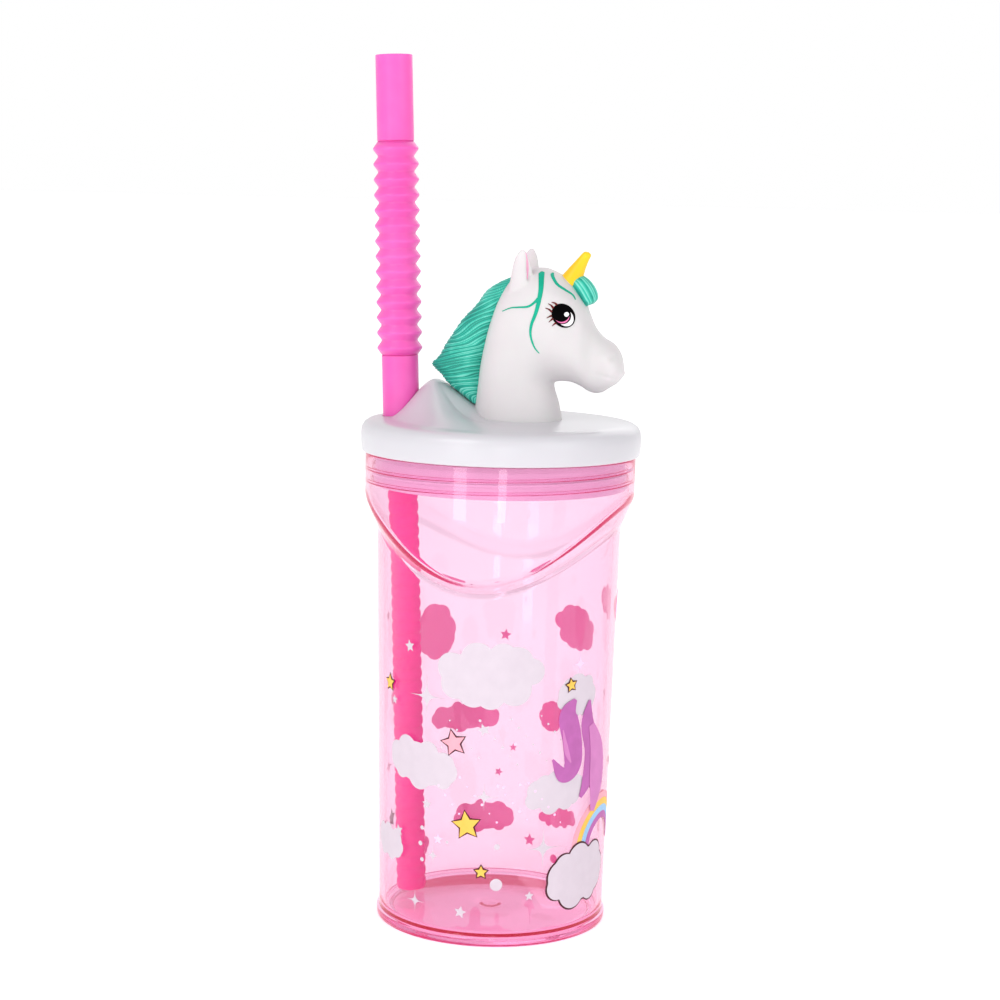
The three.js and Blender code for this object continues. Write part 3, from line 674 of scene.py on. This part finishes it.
# The head and its ears are one moulding: their union is meshed anew in small cells and smoothed, which
# rounds the join.
def makeHead():
    ears = [capped(earSurface(side, np.linspace(0, 1, 48)[:, None], np.linspace(0, 2 * np.pi, 65)[None, :-1]))
            for side in (-1, 1)]
    piece = gridObject("unicorn_head_skin", [headGrid(), *ears], sharp=80)
    union = piece.modifiers.new("union", "REMESH")
    union.mode, union.voxel_size = "VOXEL", head["cell"] * mm
    soft = piece.modifiers.new("soft", "SMOOTH")
    soft.factor, soft.iterations = 0.5, head["blend"]
    return applied(piece, 180)


# The painted lining lies in the ear's cup: a lens-shaped patch set on the skin, with a film's thickness.
def makeEarLining():
    share = np.linspace(0.4, 0.93, 24)[:, None]
    lens = 0.34 * np.sin(np.linspace(0.25, 2.9, 24))[:, None]
    grids = [earSurface(side, share, side * head["earMouth"] + lens * np.linspace(-1, 1, 9)) for side in (-1, 1)]
    piece = gridObject("unicorn_ear_lining", grids, around=False)
    return filmed(piece, "NEAREST_SURFACEPOINT", 0.03)


# The horn is a hollow-sided cone, radius = foot (1 - s)^1.4 + tip (1 - (1 - s)^1.4), with a round end; it
# leans forward and bows.
def hornGrid():
    share = np.linspace(-0.3, 1, 60)[:, None]
    turn = (np.arange(64) * 2 * np.pi / 64)[None, :]
    cap = np.sqrt(np.clip(1 - (np.clip(share - 0.9, 0, 1) / 0.1) ** 2, 0, 1))
    left = (1 - np.clip(share, 0, 1)) ** 1.4
    radius = (head["hornRadius"] * left + head["hornTip"] * (1 - left)) * cap
    x, z = radius * np.cos(turn) + head["hornBow"] * share**2, head["hornLength"] * share + 0 * turn
    lean = math.radians(head["hornLean"])
    return capped(np.stack([x * math.cos(lean) + z * math.sin(lean) + lid["neckX"] + head["hornX"],
                            radius * np.sin(turn) + 0 * share,
                            z * math.cos(lean) - x * math.sin(lean) + deck + head["hornFoot"]], -1))


skull = dressed(makeHead(), "lid", "vinyl_white", vinylWhite, "unicorn_head")
earPink = inkFinish("earPaint", (0.85, 0.35, 0.55), (0.82, 0.45, 0.6))
dressed(makeEarLining(), "lid", "vinyl_white", earPink)
dressed(gridObject("unicorn_horn_cone", [hornGrid()], sharp=80), "lid", "vinyl_yellow", hornYellow, "unicorn_horn")
print("head made")


# Each row runs from the hair's outer edge to its root inside the neck: outer x, outer height, root x,
# root height, half thickness.
mane = {
    "sections": [
        (-2.4, 38.9, -0.6, 36, 2.4), (-5.2, 37.7, -1.6, 33.5, 4.2), (-8.9, 35.2, -3, 31, 5.4),
        (-11.7, 31.3, -4, 27.5, 6), (-15.8, 26.8, -5, 24, 6.3), (-18.6, 22.6, -5.5, 20.5, 6.3),
        (-20.2, 20.2, -5.8, 18.6, 6.2), (-22, 16.8, -6.1, 16.6, 6), (-24, 14.7, -6.4, 14, 5.9),
        (-23.4, 13.4, -6.6, 12.2, 5.8), (-21.4, 11.6, -6.8, 10.6, 5.6), (-19.6, 9.4, -7.2, 8.4, 5.3),
        (-16.2, 6.8, -7.8, 5.8, 4.7), (-12.6, 4.2, -8.4, 3.4, 3.6),
    ],
    "strands": 22, "grooveDepth": 0.026, "slant": 0.27, "rows": 420, "sides": 120,
}
forelock = {
    "sections": [
        (16.8, 40.2, 13.6, 36.4, 2.4), (18.6, 39.6, 14.4, 35.4, 3.8), (20.6, 37.8, 15.6, 33.8, 4.4),
        (21.9, 35.4, 16.6, 32.4, 4.3), (22, 33.6, 17.6, 31.6, 3.4), (21, 32.4, 18, 31.2, 2.0),
    ],
    "strands": 9, "grooveDepth": 0.035, "lengthwise": True, "rows": 90, "sides": 96,
}


# Hair is a fan with combed grooves: sines of several widths along the rows, bent towards the tips, press the ring in,
# and two layers carry the groove and the reach for the colour, where they place painted shade in the grooves and by the
# root and painted highlight on the ridges.
def hairPiece(name, look):
    rows = smoothRows(look["sections"], look["rows"])
    grid = fanGrid(rows, look["sides"], 2.0)
    along = np.linspace(0, 1, look["rows"])[:, None]
    turn = (np.arange(look["sides"]) * 2 * np.pi / look["sides"])[None, :]
    reach = (1 + np.cos(turn)) / 2
    if look.get("lengthwise"):
        lane = turn / (2 * np.pi) + 0.03 * np.sin(3 * along)
    else:
        lane = along - look["slant"] * (1.1 - 0.75 * along) * reach**1.3
        lane = lane + 0.014 * np.sin(21 * along + 3 * reach) + 0.006 * np.sin(57 * along - 5 * reach + 1)
    phase = 2 * np.pi * look["strands"] * lane
    waves = ((1, 0.0, 0.3), (2, 1.3, 0.28), (3, 0.4, 0.24), (5, 2.2, 0.18))
    grooveAndShade = sum(share * (0.5 + 0.5 * np.cos(phase * pace + start + 2 * np.sin(phase / look["strands"] * 2)))
               for pace, start, share in waves)
    grooveAndShade = np.clip((grooveAndShade - 0.5) * 1.5 + 0.5, 0, 1)
    middle = grid.mean(axis=1, keepdims=True)
    fade = np.clip(np.minimum(along, 1 - along) / 0.04, 0, 1)
    press = 1 - look["grooveDepth"] * 2 * (1 - grooveAndShade) * fade
    grid = middle + (grid - middle) * press[..., None]
    layers = {key: [np.concatenate([value[:1], value, value[-1:]])]
              for key, value in (("grooveAndShade", grooveAndShade + 0 * reach), ("reach", reach + 0 * along))}
    return gridObject(name, [capped(grid)], sharp=80, layers=layers)


dressed(hairPiece("unicorn_mane_hair", mane), "lid", "vinyl_teal", hairTeal, "unicorn_mane")
dressed(hairPiece("unicorn_forelock_curl", forelock), "lid", "vinyl_teal", hairTeal, "unicorn_forelock")
print("mane made")


paint = {
    "eyeBlack": (18.0, 171.35, 3.5, 2.85, -50), "eyeWhite": (18.5, 170.85, 2.5, 2.0, -50),
    "irisRing": (17.65, 171.55, 2.55, 2.3, -50), "iris": (17.6, 171.45, 2.2, 1.95, -50),
    "pupil": (17.5, 171.95, 2.25, 2.2, -50), "glint": (18.9, 171.75, 0.62, 0.62, 0),
    "lashes": [((16.2, 174.2), (14.7, 174.9)), ((15.3, 173.3), (13.8, 174.5)), ((15.0, 172.3), (13.1, 173.3)),
               ((15.0, 171.3), (13.6, 170.6)), ((15.4, 170.6), (14.2, 169.5)), ((16.2, 169.4), (15.1, 168.5))],
    "strands": [
        ([(10.9, 182.9), (11.2, 181.3), (11.5, 178.1), (11.1, 174.5), (10.5, 171.8), (9.4, 168.5), (9.3, 165.8),
          (10.4, 162.7), (11.8, 161.0)], 0.85, 0.12),
        ([(11.1, 176.0), (9.9, 174.6), (8.2, 173.5), (5.4, 173.2), (3.2, 172.9), (0.8, 171.9)], 0.4, 0.1),
        ([(13.7, 182.6), (14.2, 181.5), (15.7, 179.6), (18.0, 178.1), (19.8, 176.9), (20.7, 175.6)], 0.42, 0.1),
    ],
}


# An oval of rings round its middle, turned in its plane: x and z only.
def ovalPatch(x, z, wide, tall, turn, rings=8, sides=48):
    share = np.linspace(0, 1, rings)[:, None]
    angle = np.linspace(0, 2 * np.pi, sides + 1)[None, :]
    u, v = wide * share * np.cos(angle), tall * share * np.sin(angle)
    c, s = math.cos(math.radians(turn)), math.sin(math.radians(turn))
    return np.stack([x + u * c - v * s, z + u * s + v * c], -1)


# A brush stroke: a smooth line through points, with a half width that tapers from one end to the other.
def stroke(points, wide, narrow, steps=60):
    line = smoothRows(points, steps)
    along = np.gradient(line, axis=0)
    along /= np.linalg.norm(along, axis=1, keepdims=True)
    normal = np.stack([-along[:, 1], along[:, 0]], -1)
    share = np.linspace(0, 1, steps)[:, None]
    half = (wide + (narrow - wide) * share) * np.clip(share / 0.04, 0.3, 1)
    across = np.linspace(-1, 1, 5)
    return line[:, None, :] + normal[:, None, :] * (half * across[None, :])[..., None]


# Patches of paint are laid on the head from both sides: each is dropped along Y onto the skin and given
# the paint's thickness.
def paintOnHead(name, patches, material, lift):
    grids = []
    for side in (-1, 1):
        for patch in patches:
            y = np.full(patch.shape[:2], side * 20.0)
            grids.append(np.stack([patch[..., 0], y, patch[..., 1]], -1))
    piece = gridObject(name, grids, around=False)
    filmed(piece, "PROJECT", lift)
    return dressed(piece, "lid", "vinyl_teal" if "strand" in name else "vinyl_white", material)


inkTeal = inkFinish("tealPaint", (0.002, 0.42, 0.27), (0.001, 0.36, 0.23))
inkBlack = mouldedFinish("blackPaint", {"colour": (0.001, 0.0008, 0.001), "shade": (0.002, 0.0015, 0.002), "cloudScale": 300,
                                        "grainScale": 2500, "gloss": (0.6, 0.7), "bump": 0.05, "shine": 0.02})
inkLash = inkFinish("lashPaint", (0.16, 0.015, 0.012), (0.1, 0.008, 0.01))
inkWhite = inkFinish("whitePaint", (0.88, 0.86, 0.88), (0.84, 0.82, 0.85))
inkRose = inkFinish("rosePaint", (0.85, 0.2, 0.45), (0.75, 0.15, 0.38))
paintOnHead("painted_strands", [stroke(*line) for line in paint["strands"]], inkTeal, 0.02)
paintOnHead("painted_eye_outline", [ovalPatch(*paint["eyeBlack"])], inkBlack, 0.04)
paintOnHead("painted_eye_white", [ovalPatch(*paint["eyeWhite"])], inkWhite, 0.1)
paintOnHead("painted_iris_ring", [ovalPatch(*paint["irisRing"])], inkBlack, 0.16)
paintOnHead("painted_iris", [ovalPatch(*paint["iris"])], inkRose, 0.22)
paintOnHead("painted_pupil", [ovalPatch(*paint["pupil"])], inkBlack, 0.28)
paintOnHead("painted_glint", [ovalPatch(*paint["glint"])], inkWhite, 0.34)
paintOnHead("painted_lashes", [stroke([root, ((root[0] + tip[0]) / 2 + 0.1, (root[1] + tip[1]) / 2 + 0.15), tip], 0.34, 0.06, 16)
                               for root, tip in paint["lashes"]], inkLash, 0.06)
print("paint made")


# Each mark is a shape, its angle round the cup, its height, its width and height in millimetres, and its
# turn in degrees.
printed = {
    "white": [
        ("cloud", -83.5, 75.7, 30.7, 18.6, 0), ("cloud", -119.2, 49.4, 24.2, 14.5, -8), ("cloud", -37.8, 68.9, 15, 12.6, 5),
        ("cloud", -48.6, 42.8, 20, 12.1, 8), ("cloud", -144, 24.5, 16, 10.5, 0),
        ("star", -125.4, 81.5, 3.6, 3.6, 10), ("star", -137, 65.4, 2.8, 2.8, 0), ("star", -85.8, 60.8, 3.6, 3.6, 20),
        ("star", -95.8, 9.3, 3.6, 3.6, -10), ("star", -61.8, 14.1, 2.8, 2.8, 0), ("star", -133.5, 28.7, 3.8, 3.8, 15),
        ("star", -114.3, 38.4, 3.2, 3.2, 0), ("sparkle", -114.7, 68.5, 12, 12, 0), ("sparkle", -85.1, 42.2, 8, 8, 0),
        ("sparkle", -55.3, 27.3, 11.5, 11.5, 0), ("sparkle", -121.4, 10.3, 7, 7, 0), ("sparkle", -110.6, 24.3, 5.6, 5.6, 0),
        ("dot", -78.4, 17.6, 3.4, 3.4, 0), ("dot", -78.4, 28.3, 1.7, 1.7, 0), ("dot", -117, 31.5, 1.2, 1.2, 0),
        ("dot", -118, 27, 1.3, 1.3, 0), ("dot", -117, 22.5, 1.2, 1.2, 0), ("dot", -103, 28.6, 0.9, 0.9, 0),
        ("star", 178, 84, 3.6, 3.6, 0), ("sparkle", 12, 64, 9, 9, 0), ("star", 3, 46, 3.4, 3.4, 12),
        ("sparkle", 178, 40, 10, 10, 0), ("dot", 35, 55, 2, 2, 0), ("star", 80, 62, 3.2, 3.2, 0),
        ("sparkle", 118, 66, 8, 8, 0), ("dot", 146, 46, 1.6, 1.6, 0),
    ],
    "rose": [
        ("cloud", 132.9, 75.8, 14, 17, 0), ("cloud", 115.6, 49.5, 22.3, 9.4, 0), ("cloud", 51.5, 78.7, 18.3, 13, 10),
        ("cloud", 66.5, 51, 9, 9.3, 0), ("cloud", 103.9, 19.2, 19.2, 10.2, 0), ("cloud", 59.2, 21.2, 15.2, 6.5, -8),
        ("star", 94.1, 74.2, 3.6, 3.6, 8), ("star", 136.8, 81, 4.4, 4.4, 0), ("star", 77.6, 12.7, 3.9, 3.9, 0),
        ("star", 88.5, 40.3, 2.4, 2.4, 0), ("star", 96.1, 32.7, 2.6, 2.6, 20), ("dot", 62, 8.3, 2.6, 2.6, 0),
        ("sparkle", -37.7, 77.7, 7, 7, 0), ("star", -107.9, 29.1, 3, 3, 0), ("cloud", 14, 90, 18, 10, 0),
        ("cloud", 158, 58, 17, 10, 6), ("cloud", 150, 12, 16, 9, 0),
        ("dot", -71, 57, 0.8, 0.8, 0), ("dot", -76, 45, 0.7, 0.7, 0), ("dot", -68, 45.6, 0.8, 0.8, 0),
    ],
    "gold": [
        ("star", -140.9, 69.8, 4.6, 4.6, 0), ("star", -42.9, 72.2, 3.6, 3.6, 10), ("star", -93.3, 34, 8, 8, 8),
        ("star", -85.8, 21.1, 3.6, 3.6, 0), ("star", 30, 36, 6, 6, 0), ("star", 150, 88, 4.4, 4.4, 12),
        ("star", 172, 24, 5, 5, 0),
    ],
}
for speck in range(46):
    spot = (-46 - speck * 23.7 % 62, 34 + speck * 17.3 % 34, 0.45 + speck % 3 * 0.15, 0.45 + speck % 3 * 0.15, 0)
    printed["white" if speck % 2 else "rose"].append(("dot", *spot))
printed["outlinedWhite"] = [("cloud", -31, 17.8, 25, 18, 10)]
printed["outlinedRose"] = [("star", -100.1, 56.6, 7.2, 7.2, 14), ("star", 40, 60, 6, 6, 0)]
printLook = {"lift": 0.03, "film": 0.05, "line": 0.5}


# Outline of a mark round its middle, as lengths along and up: a star of straight edges, a four-pointed
# sparkle of hollow sides, a cloud that is the outer edge of nine round puffs on an oval, or a disc.
def markOutline(shape, angle, wide, tall, seed):
    if shape == "cloud":
        puff = np.arange(9)[:, None]
        spot = 2 * np.pi * (puff + 0.3 * np.sin(5 * puff + seed)) / 9
        size = tall * (0.23 + 0.05 * np.sin(3 * puff + 2 * seed))
        x, y = np.cos(spot) * (wide / 2 - size), np.sin(spot) * (tall / 2 - size)
        ahead, aside = x * np.cos(angle) + y * np.sin(angle), x * np.sin(angle) - y * np.cos(angle)
        reach = np.where(np.abs(aside) < size, ahead + np.sqrt(np.clip(size**2 - aside**2, 0, None)), 0).max(axis=0)
        core = 0.8 / np.hypot(2 * np.cos(angle) / wide, 2 * np.sin(angle) / tall)
        radius = np.maximum(reach, core)
        return radius * np.cos(angle), radius * np.sin(angle)
    radius = np.ones_like(angle)
    if shape == "star":
        tip, valley = np.pi / 5, 0.47
        off = np.abs(np.mod(angle - np.pi / 2 + tip, 2 * tip) - tip)
        radius = valley * np.sin(tip) / (np.sin(off) + valley * np.sin(tip - off))
    if shape == "sparkle":
        hollow = 0.38
        radius = (np.abs(np.cos(angle)) ** hollow + np.abs(np.sin(angle)) ** hollow) ** (-1 / hollow)
    return radius * np.cos(angle) * wide / 2, radius * np.sin(angle) * tall / 2


# A mark lies on the wall as a thin closed film: rings out to the outline just off the wall, then back to
# the middle a film's thickness further out. A line's width makes it larger all round.
def markGrid(shape, where, height, wide, tall, turn, line=0.0, lift=0.0):
    angle = np.linspace(0, 2 * np.pi, 141)[:-1]
    u, v = markOutline(shape, angle, wide, tall, math.radians(where) * 3)
    grow = 1 + line / np.hypot(u, v)
    share = np.concatenate([np.linspace(0, 1, 7), np.linspace(1, 0, 7)])[:, None]
    off = np.repeat([printLook["lift"] + lift, printLook["lift"] + lift + printLook["film"]], 7)[:, None]
    u, v = share * u * grow, share * v * grow
    c, s = math.cos(math.radians(turn)), math.sin(math.radians(turn))
    u, v = u * c - v * s, u * s + v * c
    z = height + v
    radius = bodyRadius(z) + off
    around = math.radians(where) + u / radius
    return np.stack([radius * np.cos(around), radius * np.sin(around), z], -1)


# A ribbon on the wall: a smooth line of angles and heights with its own half width, closed like a mark.
def ribbonGrid(line, halfWidths, lift):
    course = smoothRows(line, 60)
    half = smoothRows([[value] for value in halfWidths], 60)
    flat = course * [math.radians(1) * bodyRadius(60), 1]
    along = np.gradient(flat, axis=0)
    along /= np.linalg.norm(along, axis=1, keepdims=True)
    normal = np.stack([-along[:, 1], along[:, 0]], -1)
    across = np.concatenate([np.linspace(-1, 1, 9), np.linspace(1, -1, 9)])
    spot = flat[:, None, :] + normal[:, None, :] * (half * across)[..., None]
    off = printLook["lift"] + lift + printLook["film"] * np.repeat([0, 1], 9)
    radius = bodyRadius(spot[..., 1]) + off
    around = spot[..., 0] / bodyRadius(60)
    return capped(np.stack([radius * np.cos(around), radius * np.sin(around), spot[..., 1]], -1))


# Arcs of a rainbow: rings of one width round a middle on the wall, from the outside in.
def rainbowArc(where, height, radius, width, sweep=(0, 180)):
    turn = np.radians(np.linspace(*sweep, 13))
    line = np.stack([where + np.degrees(radius * np.cos(turn) / bodyRadius(height)), height + radius * np.sin(turn)], -1)
    return ribbonGrid(line, [width / 2] * len(line), 0.0)


printWhite = inkFinish("printedWhite", (0.68, 0.6, 0.67), (0.65, 0.57, 0.64))
# The rose print gives off a faint light of its own colour: painted light, standing in for the light that reaches the
# print on the back wall through the cup.
printRose = mouldedFinish("printedRose", {"colour": (1.0, 0.62, 0.84), "shade": (0.98, 0.58, 0.8), "cloudScale": 300,
                                          "grainScale": 2500, "gloss": (0.45, 0.6), "bump": 0.05, "shine": 0.2, "lit": 0.06})

printGold = inkFinish("printedGold", (0.93, 0.6, 0.12), (0.9, 0.52, 0.08))
printLine = inkFinish("printedOutline", (0.09, 0.02, 0.03), (0.07, 0.015, 0.025))
printBlush = inkFinish("printedBlush", (0.92, 0.42, 0.5), (0.88, 0.38, 0.46))
printViolet = inkFinish("printedViolet", (0.52, 0.14, 0.44), (0.46, 0.12, 0.38))
printLilac = inkFinish("printedLilac", (0.66, 0.23, 0.53), (0.6, 0.2, 0.48))
printSky = inkFinish("printedSky", (0.35, 0.6, 0.85), (0.3, 0.54, 0.8))


def printMarks(name, material, marks, lift=0.0, line=0.0):
    piece = gridObject("print_" + name, [markGrid(*mark, lift=lift, line=line) for mark in marks])
    return dressed(piece, "cup", "clear_pink", material)


printMarks("white", printWhite, printed["white"])
printMarks("rose", printRose, printed["rose"])
printMarks("gold", printGold, printed["gold"], lift=0.24)
printMarks("outlined_white", printWhite, printed["outlinedWhite"], lift=0.24)
printMarks("outlined_blush", printBlush, printed["outlinedRose"], lift=0.24)
printMarks("outlines", printLine, printed["gold"] + printed["outlinedWhite"] + printed["outlinedRose"],
         lift=0.12, line=printLook["line"])
ribbons = {
    "violet": [([(-52, 52), (-46, 47.5), (-40, 50), (-41, 57), (-44, 64), (-40, 68)], [0.3, 2.2, 3.2, 3.4, 3.0, 0.6]),
               ([(-34, 40), (-29, 45), (-27, 53), (-31, 61), (-30, 67)], [0.6, 2.4, 3.0, 2.6, 0.5])],
    "lilac": [([(-47, 60), (-44.5, 54), (-41.5, 50.5)], [0.2, 0.8, 0.2]),
              ([(-28, 60), (-22, 52), (-21, 43), (-24, 35)], [1.2, 3.4, 3.6, 1.0])],
}
for name, material in (("violet", printViolet), ("lilac", printLilac)):
    lift = 0.36 if name == "lilac" else 0.24
    dressed(gridObject("print_ribbon_" + name, [ribbonGrid(line, half, lift) for line, half in ribbons[name]]),
            "cup", "clear_pink", material)
rainbow = {"where": -12, "height": 24, "radius": 14, "band": 1.9}
for index, (name, material) in enumerate((("blush", printBlush), ("gold", printGold), ("sky", printSky), ("violet", printViolet))):
    arc = rainbowArc(rainbow["where"], rainbow["height"], rainbow["radius"] - index * rainbow["band"], rainbow["band"] * 0.98)
    dressed(gridObject("print_rainbow_" + name, [arc]), "cup", "clear_pink", material)
print("print made")


for node, material in (("neck_plug", plugWhite), ("head_screw", steel)):
    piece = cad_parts[node]
    piece.data.materials.clear()
    piece.data.materials.append(material)

folds.parent = None
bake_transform(folds)


stage = {"floorSize": 80.0, "floor": (0.95, 0.945, 0.95), "backdrop": 1.0, "skyLight": 0.62, "floorGlow": 0.5}
camera = {"distance": 627.09, "height": 204.21, "aim": 118.78, "shift": 0.11, "roll": 1.336, "azimuth": 9.0, "lens": 81.44}


def makeFloor():
    half = stage["floorSize"] / 2
    mesh = bpy.data.meshes.new("floor")
    mesh.from_pydata([(-half, -half, 0), (half, -half, 0), (half, half, 0), (-half, half, 0)], [], [(0, 1, 2, 3)])
    floor = bpy.data.objects.new("floor", mesh)
    bpy.context.scene.collection.objects.link(floor)
    mesh.materials.append(mouldedFinish("paleFloor", {
        "colour": stage["floor"], "shade": tuple(0.99 * part for part in stage["floor"]), "cloudScale": 3,
        "grainScale": 400, "gloss": (0.6, 0.7), "bump": 0.02, "shine": 0.2, "lit": stage["floorGlow"]}))


# A soft area lamp at a place that faces a point: tilt = atan2(level distance, drop).
def softLamp(name, place, aim, size, power):
    data = bpy.data.lights.new(name, "AREA")
    data.shape, data.size, data.size_y, data.energy = "RECTANGLE", size[0], size[1], power
    lamp = bpy.data.objects.new(name, data)
    lamp.location = place
    way = np.array(aim) - np.array(place)
    lamp.rotation_euler = (math.atan2(math.hypot(way[0], way[1]), -way[2]), 0, math.atan2(way[1], way[0]) - math.pi / 2)
    bpy.context.scene.collection.objects.link(lamp)


# A white studio: what is seen directly, mirrored or through the clear wall is bright, and the light that
# it sheds on dull surfaces is softer.
def makeSky():
    sky = bpy.data.worlds.new("studio")
    sky.use_nodes = True
    nodes, links = sky.node_tree.nodes, sky.node_tree.links
    path = nodes.new("ShaderNodeLightPath")
    level = spread(nodes, links, path.outputs["Is Diffuse Ray"], stage["backdrop"], stage["skyLight"])
    links.new(level, nodes["Background"].inputs["Strength"])
    nodes["Background"].inputs["Color"].default_value = (1, 1, 1, 1)
    bpy.context.scene.world = sky


# The camera looks at a point on the axis from its distance and height, turned round the object by its
# azimuth and rolled a little.
def makeCamera():
    data = bpy.data.cameras.new("camera")
    data.lens, data.sensor_width = camera["lens"], 36
    data.clip_start, data.clip_end = 0.05, 50
    view = bpy.data.objects.new("camera", data)
    turn, roll = math.radians(camera["azimuth"]), math.radians(camera["roll"])
    spot = np.array([camera["shift"], -camera["distance"], camera["height"]])
    ahead = np.array([camera["shift"], 0, camera["aim"]]) - spot
    ahead /= np.linalg.norm(ahead)
    right = np.array([1.0, 0, 0])
    up = np.cross(right, ahead)
    rolledRight = math.cos(roll) * right + math.sin(roll) * up
    rolledUp = math.cos(roll) * up - math.sin(roll) * right
    around = np.array([[math.cos(turn), -math.sin(turn), 0], [math.sin(turn), math.cos(turn), 0], [0, 0, 1]])
    axes = around @ np.stack([rolledRight, rolledUp, -ahead], axis=1)
    place = around @ spot * mm
    matrix = np.eye(4)
    matrix[:3, :3], matrix[:3, 3] = axes, place
    view.matrix_world = Matrix(matrix.tolist())
    bpy.context.scene.collection.objects.link(view)
    bpy.context.scene.camera = view


makeFloor()
softLamp("keyLamp", (-0.5, -0.9, 0.9), (0, 0, 0.12), (0.6, 0.6), 4.6)
softLamp("fillLamp", (0.9, -0.6, 0.5), (0, 0, 0.12), (0.7, 0.7), 2.0)
softLamp("leftStrip", (-0.42, -0.95, 0.12), (0, 0, 0.08), (0.2, 0.6), 1.3)
softLamp("rightStrip", (0.2, -1.0, 0.12), (0, 0, 0.08), (0.12, 0.6), 0.9)
softLamp("backLamp", (0.2, 0.9, 0.7), (0, 0, 0.12), (0.8, 0.8), 2.0)
makeSky()
bpy.context.scene.view_settings.view_transform = "Standard"
makeCamera()
print("stage made")
